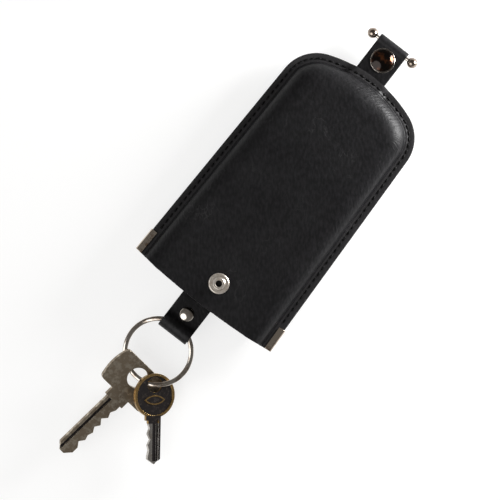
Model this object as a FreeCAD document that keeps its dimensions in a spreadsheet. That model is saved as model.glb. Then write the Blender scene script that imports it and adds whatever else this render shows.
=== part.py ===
import FreeCAD, Part
import math
import os
import re

import Sketcher
from FreeCAD import Placement, Rotation, Vector

# A bell-shaped leather key case: two moulded panels sewn edge to edge, and a strap that runs through
# them from a pull bar above the crown to a split ring with two keys below the mouth.
# Millimetres. The case lies on its back: X across, Y from the mouth to the crown, Z up.
# The origin is on the table under the middle of the back panel.

# Driving dimensions
SIZES = {
    # moulded panels
    "pouch_length": 112.0,
    "mouth_width": 66.0,
    "mouth_rise": 1.7,
    "shoulder_width": 60.6,
    "crown_radius": 56.0,
    "corner_radius": 16.0,
    "panel_leather": 1.7,
    "margin_width": 3.9,
    "seam_height": 8.9,
    "shoulder_round": 6.0,
    # strap and its way through the crown
    "strap_width": 13.5,
    "strap_leather": 1.5,
    "strap_offset": -1.6,
    "slot_play": 0.3,
    "slot_headroom": 0.25,
    "bridge_round": 0.8,
    "loop_reach": 16.7,
    "loop_bore": 4.6,
    "fold_leather": 1.2,
    "tail_margin": 0.5,
    "hole_play": 0.05,
    # rivet that closes the loop
    "rivet_setback": 6.7,
    "rivet_diameter": 5.7,
    "rivet_height": 1.3,
    "rivet_rim": 0.4,
    "rivet_post": 2.6,
    "rivet_bore_depth": 0.7,
    "rivet_back": 0.8,
    # press stud
    "snap_setout": 7.5,
    "snap_diameter": 9.8,
    "snap_height": 1.9,
    "snap_rim": 0.55,
    "snap_post": 3.2,
    "snap_flare": 0.6,
    "flare_sheet": 0.3,
    "socket_diameter": 9.0,
    "socket_height": 2.5,
    "socket_web": 0.5,
    "socket_mouth": 5.7,
    "groove_depth": 0.5,
    "groove_height": 0.9,
    "spring_wire": 0.54,
    "spring_gap": 40.0,
    "stud_setback": 10.8,
    "stud_offset": 1.0,
    "stud_diameter": 8.3,
    "stud_sheet": 0.7,
    "stud_bevel": 0.4,
    "stud_neck": 4.7,
    "stud_head": 5.5,
    "stud_height": 2.4,
    "stud_shoulder": 0.8,
    "eyelet_diameter": 3.4,
    "eyelet_bore": 2.6,
    "eyelet_flange": 7.8,
    "eyelet_sheet": 0.5,
    "eyelet_roll": 0.4,
    # corner clips
    "clip_length": 10.0,
    "clip_width": 2.4,
    "clip_sheet": 0.5,
    # pull bar
    "bar_setout": 14.0,
    "bar_rod": 1.6,
    "bar_spacing": 19.5,
    "ball_diameter": 4.2,
    "rod_grip": 1.3,
    "rod_end_play": 0.2,
    "bar_play": 0.06,
    "fit_play": 0.02,
    # split ring
    "ring_diameter": 28.0,
    "wire_width": 1.9,
    "wire_thickness": 0.7,
    "turn_gap": 0.06,
    "crossover_angle": 44.0,
    "crossover_place": 120.0,
    # door key
    "door_bow_width": 25.6,
    "door_bow_height": 15.5,
    "door_bow_bulge": 0.8,
    "door_bow_corner": 2.0,
    "door_hole": 8.6,
    "door_hole_margin": 1.7,
    "door_thickness": 1.8,
    "door_collar_width": 9.4,
    "door_collar_length": 3.6,
    "door_blade_width": 7.2,
    "door_blade_length": 28.5,
    "door_tip": 2.6,
    "door_groove": 1.3,
    "door_groove_depth": 0.5,
    "door_groove_offset": 1.8,
    "door_cut_start": 2.1,
    "door_cut_pitch": 4.2,
    "door_cut_depth": 1.9,
    # small key
    "small_bow_diameter": 17.6,
    "small_rim": 1.0,
    "small_recess": 0.35,
    "small_plaque_length": 9.0,
    "small_plaque_height": 3.8,
    "small_plaque_drop": 1.7,
    "small_hole": 6.2,
    "small_hole_setout": 4.3,
    "small_thickness": 1.5,
    "small_blade_width": 5.6,
    "small_blade_length": 18.4,
    "small_tip": 2.0,
    "small_groove": 1.1,
    "small_groove_depth": 0.4,
    "small_groove_offset": 1.25,
    "small_stop": 1.0,
    "small_cut_start": 2.0,
    "small_cut_pitch": 4.4,
    "small_cut_depth": 1.1,
    # how the keys hang on the ring, in degrees and millimetres from the wire
    "door_place": -1.6,
    "door_turn": -8.3,
    "door_roll": -25.6,
    "door_drop": 0.0,
    "door_hang": 0.1,
    "door_lift": -0.1,
    "small_place": 31.2,
    "small_turn": 36.4,
    "small_roll": -29.9,
    "small_drop": 2.6,
    "small_hang": 0.1,
    "small_lift": 0.15,
}

XY, XZ, YZ = "XY_Plane", "XZ_Plane", "YZ_Plane"
UP = Vector(0, 0, 1)
TINY = 1e-4

doc = FreeCAD.newDocument("KeyCase")
sheet = doc.addObject("Spreadsheet::Sheet", "Sizes")
for row, (alias, size) in enumerate(SIZES.items(), 1):
    sheet.set(f"A{row}", alias)
    sheet.set(f"B{row}", str(size))
    sheet.setAlias(f"B{row}", alias)
doc.recompute()

subparts = []


# Tools of the drawing board

def formula(text):
    """Points each size named in a formula at its cell."""
    return re.sub(r"[a-z]\w*", lambda word: f"Sizes.{word[0]}" if word[0] in SIZES else word[0], str(text))


def value(text):
    """Works out a formula of sizes."""
    return float(sheet.evalExpression(formula(text)))


def bind(thing, **formulas):
    """Ties properties to formulas; a double underscore in a name stands for a dot."""
    for name, text in formulas.items():
        thing.setExpression(name.replace("__", "."), formula(text))


def new_body(label, x="0", y="0", z="0"):
    """Starts a sub-part whose own origin stands at x, y, z."""
    body = doc.addObject("PartDesign::Body", label)
    body.Label = label
    bind(body, Placement__Base__x=x, Placement__Base__y=y, Placement__Base__z=z)
    subparts.append(body)
    return body


def new_sketch(body, role, lift="0"):
    """Opens a sketch on one of the body's own planes, lifted along the plane's normal."""
    sketch = body.newObject("Sketcher::SketchObject", "Sketch")
    plane = next(item for item in body.Origin.OriginFeatures if item.Role == role)
    sketch.AttachmentSupport = [(plane, "")]
    sketch.MapMode = "FlatFace"
    bind(sketch, AttachmentOffset__Base__z=lift)
    return sketch


def dimension(sketch, text, kind, *places):
    """Adds one dimension that follows a formula."""
    index = sketch.addConstraint(Sketcher.Constraint(kind, *places, value(text)))
    sketch.setExpression(f"Constraints[{index}]", formula(text))


def draw(sketch, corners, arcs=None):
    """Draws a closed outline through corners, each a pair of formulas.

    arcs gives the radius of each side that is round, by the number of its first corner. The outline
    runs anticlockwise along it, or clockwise where the number is negative.
    """
    arcs = arcs or {}
    points = [Vector(value(x), value(y), 0) for x, y in corners]
    ends = []
    for number, start in enumerate(points):
        end = points[(number + 1) % len(points)]
        round_left, round_right = number in arcs, -number in arcs and number > 0
        if not (round_left or round_right):
            side = sketch.addGeometry(Part.LineSegment(start, end))
            ends.append((side, 1, 2))
            continue
        radius = arcs[number] if round_left else arcs[-number]
        first, last = (start, end) if round_left else (end, start)
        chord = last - first
        reach = math.sqrt(max(value(radius) ** 2 - (chord.Length / 2) ** 2, 0))
        normal = Vector(-chord.y, chord.x, 0).normalize()
        centre = (first + last) / 2 + normal * reach
        angles = [math.atan2(spot.y - centre.y, spot.x - centre.x) for spot in (first, last)]
        circle = Part.Circle(centre, UP, value(radius))
        side = sketch.addGeometry(Part.ArcOfCircle(circle, *angles))
        ends.append((side, 1, 2) if round_left else (side, 2, 1))
        dimension(sketch, radius, "Radius", side)
    for number, (side, start, end) in enumerate(ends):
        following = ends[(number + 1) % len(ends)]
        sketch.addConstraint(Sketcher.Constraint("Coincident", side, end, following[0], following[1]))
        x, y = corners[number]
        dimension(sketch, x, "DistanceX", -1, 1, side, start)
        dimension(sketch, y, "DistanceY", -1, 1, side, start)


def draw_box(sketch, left, low, right, high):
    """Draws a rectangle between formulas for its sides."""
    draw(sketch, [(left, low), (right, low), (right, high), (left, high)])


def draw_circle(sketch, x, y, radius):
    """Draws a circle with its centre and radius as formulas."""
    circle = sketch.addGeometry(Part.Circle(Vector(value(x), value(y), 0), UP, value(radius)))
    dimension(sketch, radius, "Radius", circle)
    dimension(sketch, x, "DistanceX", -1, 1, circle, 3)
    dimension(sketch, y, "DistanceY", -1, 1, circle, 3)


def pad(sketch, length, reversed_=False, both_ways=False):
    """Raises a sketch into the body."""
    return push(sketch, "PartDesign::Pad", length, reversed_, both_ways)


def pocket(sketch, length, reversed_=False, both_ways=False):
    """Cuts a sketch out of the body, against the sketch's normal unless reversed."""
    return push(sketch, "PartDesign::Pocket", length, reversed_, both_ways)


def push(sketch, kind, length, reversed_, both_ways):
    """Adds a pad or a pocket, and checks that it changed the body."""
    body = sketch.getParentGeoFeatureGroup()
    before = body.Shape.Volume if body.Tip else 0
    feature = body.newObject(kind, kind.split("::")[1])
    feature.Profile = sketch
    feature.Reversed = reversed_
    feature.Midplane = both_ways
    bind(feature, Length=length)
    doc.recompute()
    if abs(body.Shape.Volume - before) < TINY:
        raise RuntimeError(f"{body.Label}: {feature.Name} changed nothing")
    return feature


def turn(sketch, angle="360"):
    """Turns a profile about its sketch's upright axis."""
    body = sketch.getParentGeoFeatureGroup()
    feature = body.newObject("PartDesign::Revolution", "Revolution")
    feature.Profile = sketch
    feature.ReferenceAxis = (sketch, ["V_Axis"])
    bind(feature, Angle=angle)
    doc.recompute()
    return feature


def fillet(body, radius, test):
    """Rounds the edges of the body that pass a test."""
    return ease(body, "PartDesign::Fillet", test, Radius=radius)


def chamfer(body, size, test):
    """Bevels the edges of the body that pass a test."""
    return ease(body, "PartDesign::Chamfer", test, Size=size)


def ease(body, kind, test, **formulas):
    """Adds a fillet or a chamfer to the edges of the body that pass a test."""
    base = body.Tip
    names = [f"Edge{number}" for number, edge in enumerate(base.Shape.Edges, 1) if test(edge)]
    feature = body.newObject(kind, kind.split("::")[1])
    feature.Base = (base, names)
    bind(feature, **formulas)
    doc.recompute()
    return feature


def level(edge, height):
    """Says whether an edge lies flat at a height."""
    box = edge.BoundBox
    return abs(box.ZMin - height) < TINY and abs(box.ZMax - height) < TINY


# Moulded panels

MOUTH_RADIUS = "((mouth_width / 2)^2 + mouth_rise^2) / (2 * mouth_rise)"
MOUTH_Y = "(-pouch_length / 2)"
CROWN_Y = "(pouch_length / 2)"


def bell_places(inset):
    """Works out what the right side of a bell outline runs between, drawn in from the panel's edge.

    Gives the centre of the corner arc, the end of the mouth, and how far the side leans, in radians.
    """
    corner, reach = value(f"corner_radius - {inset}"), value("crown_radius - corner_radius")
    centre = Vector(value("shoulder_width / 2 - corner_radius"), value(f"{CROWN_Y} - crown_radius"), 0)
    centre.y += math.sqrt(reach ** 2 - centre.x ** 2)
    mouth, radius = Vector(value(f"mouth_width / 2 - {inset}"), value(MOUTH_Y), 0), value(MOUTH_RADIUS)
    mouth.y += radius - math.sqrt(radius ** 2 - mouth.x ** 2)
    span = mouth - centre
    return centre, mouth, math.atan2(span.x, -span.y) - math.asin(corner / span.Length)


def draw_bell(sketch, inset):
    """Draws the bell outline of a panel, drawn in from the panel's edge by a formula.

    The mouth stays on one arc. The sides lean in to two corner arcs that flow into the crown's arc.
    """
    corner_centre, mouth_end, lean = bell_places(inset)
    crown, corner = value(f"crown_radius - {inset}"), value(f"corner_radius - {inset}")
    crown_y, mouth_radius = value(f"{CROWN_Y} - crown_radius"), value(MOUTH_RADIUS)
    join = math.atan2(corner_centre.y - crown_y, corner_centre.x)
    swing = math.asin(mouth_end.x / mouth_radius)
    tangent = corner_centre + Vector(corner * math.cos(lean), corner * math.sin(lean), 0)

    def mirror(spot):
        return Vector(-spot.x, spot.y, 0)

    def line(first, last):
        return sketch.addGeometry(Part.LineSegment(first, last))

    def arc(centre, radius, first, last):
        return sketch.addGeometry(Part.ArcOfCircle(Part.Circle(centre, UP, radius), first, last))

    right = line(mouth_end, tangent)
    right_corner = arc(corner_centre, corner, lean, join)
    crest = arc(Vector(0, crown_y, 0), crown, join, math.pi - join)
    left_corner = arc(mirror(corner_centre), corner, math.pi - join, math.pi - lean)
    left = line(mirror(tangent), mirror(mouth_end))
    mouth_centre = Vector(0, value(MOUTH_Y) + mouth_radius, 0)
    mouth = arc(mouth_centre, mouth_radius, -math.pi / 2 - swing, -math.pi / 2 + swing)
    round_run = (right, right_corner, crest, left_corner, left)
    for first, second in zip(round_run, round_run[1:]):
        sketch.addConstraint(Sketcher.Constraint("Tangent", first, 2, second, 1))
    sketch.addConstraint(Sketcher.Constraint("Coincident", left, 2, mouth, 1))
    sketch.addConstraint(Sketcher.Constraint("Coincident", mouth, 2, right, 1))
    sketch.addConstraint(Sketcher.Constraint("PointOnObject", crest, 3, -2))
    sketch.addConstraint(Sketcher.Constraint("Symmetric", left, 2, right, 1, -2))
    sketch.addConstraint(Sketcher.Constraint("Equal", right_corner, left_corner))
    sketch.addConstraint(Sketcher.Constraint("Horizontal", left_corner, 3, right_corner, 3))
    dimension(sketch, f"crown_radius - {inset}", "Radius", crest)
    dimension(sketch, f"corner_radius - {inset}", "Radius", right_corner)
    dimension(sketch, MOUTH_RADIUS, "Radius", mouth)
    dimension(sketch, f"mouth_width - 2 * {inset}", "DistanceX", left, 2, right, 1)
    dimension(sketch, "shoulder_width - 2 * corner_radius", "DistanceX", left_corner, 3, right_corner, 3)
    dimension(sketch, f"{CROWN_Y} - crown_radius", "DistanceY", -1, 1, crest, 3)
    dimension(sketch, f"{MOUTH_Y} + {MOUTH_RADIUS}", "DistanceY", -1, 1, mouth, 3)


def make_panel(label):
    """Moulds one panel, open at the mouth and flat along its sewn margin, rising from the seam plane.

    The shoulder is round outside. Inside, a bevel touches the arc that would keep the wall's thickness.
    """
    body = new_body(label, z="seam_height")
    outline = new_sketch(body, XY)
    draw_bell(outline, "0")
    pad(outline, "panel_leather")
    dome = new_sketch(body, XY)
    draw_bell(dome, "margin_width")
    pad(dome, "seam_height")
    cavity = new_sketch(body, XY)
    draw_bell(cavity, "(margin_width + panel_leather)")
    pocket(cavity, "seam_height - panel_leather", reversed_=True)
    top, ceiling = value("seam_height"), value("seam_height - panel_leather")
    mouth = value(MOUTH_Y) + value("mouth_rise") + TINY

    def past_mouth(edge):
        return edge.BoundBox.YMax > mouth

    inside = "(shoulder_round - panel_leather) * (2 - sqrt(2))"
    chamfer(body, inside, lambda edge: level(edge, ceiling) and past_mouth(edge))
    fillet(body, "shoulder_round", lambda edge: level(edge, top) and past_mouth(edge))
    return body


def crown_height(x):
    """Gives the crown's edge over a place across the case, as a formula."""
    return f"{CROWN_Y} - crown_radius + sqrt(crown_radius^2 - ({x})^2)"


def make_front_panel():
    """Moulds the front panel, which bridges the strap at the crown and carries the stud."""
    body = make_panel("front_panel")
    half = "(strap_width / 2 + slot_play)"
    left, right = f"strap_offset - {half} - panel_leather", f"strap_offset + {half} + panel_leather"
    inside = f"{CROWN_Y} - margin_width - shoulder_round"
    bridge = new_sketch(body, XY)
    corners = [(left, inside), (right, inside), (right, crown_height(right)), (left, crown_height(left))]
    draw(bridge, corners, {2: "crown_radius"})
    headroom = "strap_leather + slot_headroom"
    pad(bridge, f"{headroom} + panel_leather")
    crest = value(f"{headroom} + panel_leather")
    sides = (value(left), value(right))

    def on_bridge(edge):
        along = edge.BoundBox.XLength < TINY and min(abs(edge.BoundBox.XMin - side) for side in sides) < TINY
        return level(edge, crest) and along

    fillet(body, "bridge_round", on_bridge)
    channel = new_sketch(body, XY)
    draw_box(channel, f"strap_offset - {half}", f"{CROWN_Y} - margin_width - 2 * shoulder_round",
             f"strap_offset + {half}", f"{CROWN_Y} + margin_width")
    pocket(channel, headroom, reversed_=True)
    hole = new_sketch(body, XY, lift="seam_height")
    draw_circle(hole, "stud_offset", f"{MOUTH_Y} + stud_setback", "eyelet_diameter / 2 + hole_play")
    pocket(hole, "2 * panel_leather")
    return body


def make_back_panel():
    """Moulds the back panel, the front's mirror without its bridge and hole."""
    body = make_panel("back_panel")
    body.Placement.Rotation = Rotation(Vector(0, 1, 0), 180)
    return body


# Corner clips

def make_clip(label, side):
    """Folds one sheet-metal clip round both margins at a corner of the mouth."""
    lean = bell_places("0")[2]
    body = new_body(label, f"{side} * mouth_width / 2", f"{MOUTH_Y} + mouth_rise", "seam_height")
    profile = new_sketch(body, XZ)
    inner, outer = "panel_leather", "panel_leather + clip_sheet"
    lip, back = "-clip_width", "clip_sheet"
    draw(profile, [(lip, inner), ("0", inner), ("0", f"-({inner})"), (lip, f"-({inner})"),
                   (lip, f"-({outer})"), (back, f"-({outer})"), (back, outer), (lip, outer)])
    pad(profile, "clip_length", reversed_=True)
    rim = value("clip_sheet")

    def outside(edge):
        return edge.BoundBox.YLength > rim and abs(edge.CenterOfMass.x - rim) < TINY

    fillet(body, "clip_sheet / 2", outside)
    across = Rotation(Vector(0, 1, 0), 180) if side < 0 else Rotation()
    body.Placement.Rotation = across.multiply(Rotation(UP, math.degrees(lean)))


# Strap

LOOP_Y = f"({MOUTH_Y} - loop_reach + fold_leather + loop_bore / 2)"
RIVET_Y = f"({MOUTH_Y} - rivet_setback)"
SNAP_Y = f"({CROWN_Y} + snap_setout)"
BAR_Y = f"({CROWN_Y} + bar_setout)"


def make_strap():
    """Cuts the strap: one layer through the case, folded back on itself round the ring and round the bar."""
    body = new_body("strap", x="strap_offset", z="seam_height")
    left, right = "-strap_width / 2", "strap_width / 2"
    layer = new_sketch(body, XY)
    draw_box(layer, left, LOOP_Y, right, BAR_Y)
    pad(layer, "strap_leather")
    tails = new_sketch(body, XY)
    draw_box(tails, left, LOOP_Y, right, f"{RIVET_Y} + rivet_diameter / 2 + tail_margin")
    draw_box(tails, left, f"{SNAP_Y} - snap_diameter / 2 - tail_margin", right, BAR_Y)
    pad(tails, "strap_leather", reversed_=True)
    folds = new_sketch(body, YZ)
    draw_circle(folds, LOOP_Y, "0", "loop_bore / 2 + fold_leather")
    draw_circle(folds, BAR_Y, "0", "bar_rod / 2 + bar_play + fold_leather")
    pad(folds, "strap_width", both_ways=True)
    bores = new_sketch(body, YZ)
    draw_circle(bores, LOOP_Y, "0", "loop_bore / 2")
    draw_circle(bores, BAR_Y, "0", "bar_rod / 2 + bar_play")
    pocket(bores, "2 * strap_width", both_ways=True)
    holes = new_sketch(body, XY)
    draw_circle(holes, "0", RIVET_Y, "rivet_post / 2 + hole_play")
    draw_circle(holes, "0", SNAP_Y, "snap_post / 2 + hole_play")
    pocket(holes, "4 * strap_leather", both_ways=True)
    return body


def dome_radius(width, height):
    """Gives the radius of a round cap of a half width and a height, as a formula."""
    return f"(({width})^2 + ({height})^2) / (2 * ({height}))"


def make_rivet():
    """Turns the rivet's two halves: a hollow domed cap in front, and a post with a flat head from behind."""
    radius, post, leather = "rivet_diameter / 2", "rivet_post / 2", "strap_leather"
    crown = dome_radius(radius, "rivet_height - rivet_rim")
    seat = f"{leather} + rivet_bore_depth"
    cap = new_sketch(new_body("loop_rivet_cap", "strap_offset", RIVET_Y, "seam_height"), XZ)
    draw(cap, [("0", seat), (f"{post} + fit_play", seat), (f"{post} + fit_play", leather), (radius, leather),
               (radius, f"{leather} + rivet_rim"), ("0", f"{leather} + rivet_height")], {4: crown})
    turn(cap)
    back = new_sketch(new_body("loop_rivet_post", "strap_offset", RIVET_Y, "seam_height"), XZ)
    head = f"-{leather} - rivet_back"
    draw(back, [("0", head), (radius, head), (radius, f"-{leather}"), (post, f"-{leather}"), (post, seat),
                ("0", seat)])
    turn(back)


# Press stud

def make_snap():
    """Turns the strap's half of the press stud: a domed cap, a socket and its spring of square wire."""
    leather, post, radius = "strap_leather", "snap_post / 2", "snap_diameter / 2"
    web = f"(-{leather} - socket_web)"
    flare = f"{post} + snap_flare"
    rim = f"{leather} + snap_rim"
    cap = new_sketch(new_body("snap_cap", "strap_offset", SNAP_Y, "seam_height"), XZ)
    draw(cap, [("0", f"{web} - flare_sheet"), (flare, f"{web} - flare_sheet"), (flare, web), (post, web),
               (post, leather), (radius, leather), (radius, rim), (f"{radius} - snap_rim", rim),
               ("0", f"{leather} + snap_height")],
         {7: dome_radius(f"{radius} - snap_rim", "snap_height - snap_rim")})
    turn(cap)
    lip, groove = "socket_mouth / 2", "socket_mouth / 2 + groove_depth"
    shelf, face = f"{web} - groove_height", f"-{leather} - socket_height"
    edge = "socket_diameter / 2"
    socket = new_sketch(new_body("snap_socket", "strap_offset", SNAP_Y, "seam_height"), XZ)
    draw(socket, [(f"{post} + fit_play", f"-{leather}"), (f"{post} + fit_play", web), (groove, web),
                  (groove, shelf), (lip, shelf), (lip, face), (f"{edge} - stud_bevel", face),
                  (edge, f"{face} + stud_bevel"), (edge, f"-{leather}")])
    turn(socket)
    spring = new_sketch(new_body("socket_spring", "strap_offset", SNAP_Y, "seam_height"), XZ)
    wire = "spring_wire / 2"
    middle, height = f"{groove} - {wire} - fit_play", f"{web} - groove_height / 2"
    draw_box(spring, f"{middle} - {wire}", f"{height} - {wire}", f"{middle} + {wire}", f"{height} + {wire}")
    turn(spring, "360 - spring_gap")


def make_stud():
    """Turns the front panel's half of the press stud: the stud and the rolled eyelet that holds it."""
    place = ("stud_offset", f"({MOUTH_Y} + stud_setback)", "2 * seam_height")
    bore, radius = "eyelet_diameter / 2 + fit_play", "stud_diameter / 2"
    neck, head = "stud_neck / 2", "stud_head / 2"
    stud = new_sketch(new_body("snap_stud", *place), XZ)
    throat = "stud_sheet + stud_bevel"
    waist = f"{throat} + {head} - {neck}"
    draw(stud, [(bore, "0"), (radius, "0"), (radius, "stud_sheet - stud_bevel"),
                (f"{radius} - stud_bevel", "stud_sheet"), (neck, "stud_sheet"), (neck, throat),
                (head, waist), (f"{head} - stud_shoulder", "stud_height"), (bore, "stud_height")])
    turn(stud)
    tube, hollow, flange = "eyelet_diameter / 2", "eyelet_bore / 2", "eyelet_flange / 2"
    roll, crest = f"{tube} + eyelet_roll", "stud_height + eyelet_roll / 2"
    inner = "-panel_leather"
    post = new_sketch(new_body("stud_eyelet", *place), XZ)
    draw(post, [(hollow, f"{inner} - eyelet_sheet"), (flange, f"{inner} - eyelet_sheet"), (flange, inner),
                (tube, inner), (tube, "stud_height"), (roll, "stud_height"), (roll, crest), (hollow, crest)])
    turn(post)


# Pull bar

def make_pull_bar():
    """Makes the bar across the strap's upper fold: a rod with a ball on each end."""
    sideways = Rotation(Vector(0, 1, 0), 90)
    rod = doc.addObject("Part::Cylinder", "pull_bar_rod")
    length = "bar_spacing - ball_diameter + 2 * rod_grip"
    bind(rod, Radius="bar_rod / 2", Height=length, Placement__Base__x=f"strap_offset - ({length}) / 2",
         Placement__Base__y=BAR_Y, Placement__Base__z="seam_height")
    rod.Placement.Rotation = sideways
    subparts.append(rod)
    for label, side in (("left_bar_ball", -1), ("right_bar_ball", 1)):
        ball = doc.addObject("Part::Sphere", "Ball")
        bind(ball, Radius="ball_diameter / 2")
        bore = doc.addObject("Part::Cylinder", "Bore")
        depth = "rod_grip + rod_end_play"
        bind(bore, Radius="bar_rod / 2 + fit_play", Height="ball_diameter",
             Placement__Base__z=f"{depth} - ball_diameter / 2 - ball_diameter")
        drilled = doc.addObject("Part::Cut", label)
        drilled.Base = ball
        drilled.Tool = bore
        bind(drilled, Placement__Base__x=f"strap_offset + {side} * bar_spacing / 2", Placement__Base__y=BAR_Y,
             Placement__Base__z="seam_height")
        drilled.Placement.Rotation = Rotation(Vector(0, 1, 0), 90 * side)
        subparts.append(drilled)
    doc.recompute()


# Split ring

# The stretch of wire inside the strap's loop, from its outer edge in the middle to its inner edge at
# the loop's two sides, is centred on the loop's bore.
RING_Y = (f"({LOOP_Y} - (ring_diameter / 2 "
          "+ sqrt((ring_diameter / 2 - wire_width)^2 - (strap_width / 2)^2)) / 2)")
RAMP_STEPS = 8


def make_split_ring():
    """Winds the split ring: two turns of flat wire, one over the other, joined by a crossover."""
    middle = value("ring_diameter / 2 - wire_width / 2")
    half_wide, half_high = value("wire_width / 2"), value("wire_thickness / 2")
    rise = value("wire_thickness + turn_gap")
    crossover = value("crossover_angle")
    place = value("crossover_place")
    corners = [(half_wide, half_high), (-half_wide, half_high),
               (-half_wide, -half_high), (half_wide, -half_high)]

    def section(angle, height):
        spots = [Vector(middle + out, 0, height + up) for out, up in corners]
        wire = Part.makePolygon(spots + spots[:1])
        return wire.rotate(Vector(), UP, place + angle)

    def turn_of_wire(angle, height):
        face = Part.Face(section(angle, height))
        return face.revolve(Vector(), UP, 360 - crossover)

    ramp = []
    for step in range(RAMP_STEPS + 1):
        share = step / RAMP_STEPS
        ramp.append(section(share * crossover, rise / 2 * math.cos(math.pi * share)))
    upper = turn_of_wire(crossover - 360, rise / 2)
    crossing = Part.makeLoft(ramp, True, True)
    lower = turn_of_wire(crossover, -rise / 2)
    ring = doc.addObject("Part::Feature", "split_ring")
    ring.Shape = upper.fuse([crossing, lower]).removeSplitter()
    ring.Placement.Base = Vector(value("strap_offset"), value(RING_Y), value("seam_height"))
    subparts.append(ring)


# Keys

# The depth of each cut from the bow to the tip, as a share of the deepest.
DOOR_CUTS = (0.55, 1.0, 0.75, 0.4, 0.9)
SMALL_CUTS = (0.7, 1.0, 0.5)


def saw_teeth(edge, start, pitch, depths, side):
    """Gives the corners of a run of V cuts along a blade's edge, from the bow to the tip, as formulas."""
    corners = []
    for number, depth in enumerate(depths):
        shallow = f"{start} - {pitch} * {number}"
        corners.append((edge, shallow))
        corners.append((f"{edge} - {side} * {depth}", f"{shallow} - {pitch} / 2"))
    corners.append((edge, f"{start} - {pitch} * {len(depths)}"))
    outside = f"{edge} + {side} * {pitch}"
    return corners + [(outside, f"{start} - {pitch} * {len(depths)}"), (outside, start)]


def hang_key(body, key):
    """Threads a key on the ring, at its place round the ring from the far end, turned, rolled and dropped."""
    angle = math.radians(value(f"{key}_place"))
    reach = value(f"ring_diameter / 2 - wire_width / 2 + {key}_hang")
    x = value("strap_offset") + reach * math.sin(angle)
    y = value(RING_Y) - reach * math.cos(angle)
    attitude = Rotation(UP, value(f"{key}_turn"))
    attitude = attitude.multiply(Rotation(Vector(1, 0, 0), value(f"{key}_drop")))
    attitude = attitude.multiply(Rotation(Vector(0, 1, 0), -value(f"{key}_roll")))
    body.Placement = Placement(Vector(x, y, value(f"seam_height + {key}_lift")), attitude)


def make_door_key():
    """Cuts the door key: a wide bow, a collar and a grooved blade with cuts along one edge."""
    body = doc.addObject("PartDesign::Body", "door_key")
    subparts.append(body)
    half, corner = "door_bow_width / 2 - door_bow_bulge", "door_bow_corner"
    top, bottom = "(door_hole / 2 + door_hole_margin)", "(door_hole / 2 + door_hole_margin - door_bow_height)"
    bulge = dome_radius(f"door_bow_height / 2 - {corner}", "door_bow_bulge")
    bow = new_sketch(body, XY)
    flat = f"({half} - {corner})"
    draw(bow, [(flat, top), (f"-{flat}", top), (f"-({half})", f"{top} - {corner}"),
               (f"-({half})", f"{bottom} + {corner}"), (f"-{flat}", bottom),
               (flat, bottom), (half, f"{bottom} + {corner}"), (half, f"{top} - {corner}")],
         {1: corner, 2: bulge, 3: corner, 5: corner, 6: bulge, 7: corner})
    pad(bow, "door_thickness", both_ways=True)
    heel = f"{bottom} - door_collar_length"
    tip = f"{heel} - door_blade_length"
    collar, blade = "door_collar_width / 2", "door_blade_width / 2"
    shank = new_sketch(body, XY)
    draw(shank, [(f"-{collar}", f"{bottom} + {corner}"), (f"-{collar}", heel), (f"-{blade}", heel),
                 (f"-{blade}", f"{tip} + door_tip"), (f"door_tip - {blade}", tip),
                 (f"{blade} - door_tip", tip), (blade, f"{tip} + door_tip"), (blade, heel),
                 (collar, heel), (collar, f"{bottom} + {corner}")])
    pad(shank, "door_thickness", both_ways=True)
    hole = new_sketch(body, XY)
    draw_circle(hole, "0", "0", "door_hole / 2")
    pocket(hole, "2 * door_thickness", both_ways=True)
    cuts = new_sketch(body, XY)
    depths = [f"door_cut_depth * {share}" for share in DOOR_CUTS]
    draw(cuts, saw_teeth(blade, f"{heel} - door_cut_start", "door_cut_pitch", depths, 1))
    pocket(cuts, "2 * door_thickness", both_ways=True)
    for face, away in (("door_thickness / 2", False), ("-door_thickness / 2", True)):
        groove = new_sketch(body, XY, lift=face)
        draw_box(groove, "-door_groove_offset - door_groove / 2", f"{tip} - door_tip",
                 "door_groove / 2 - door_groove_offset", heel)
        pocket(groove, "door_groove_depth", reversed_=away)
    hang_key(body, "door")


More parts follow.
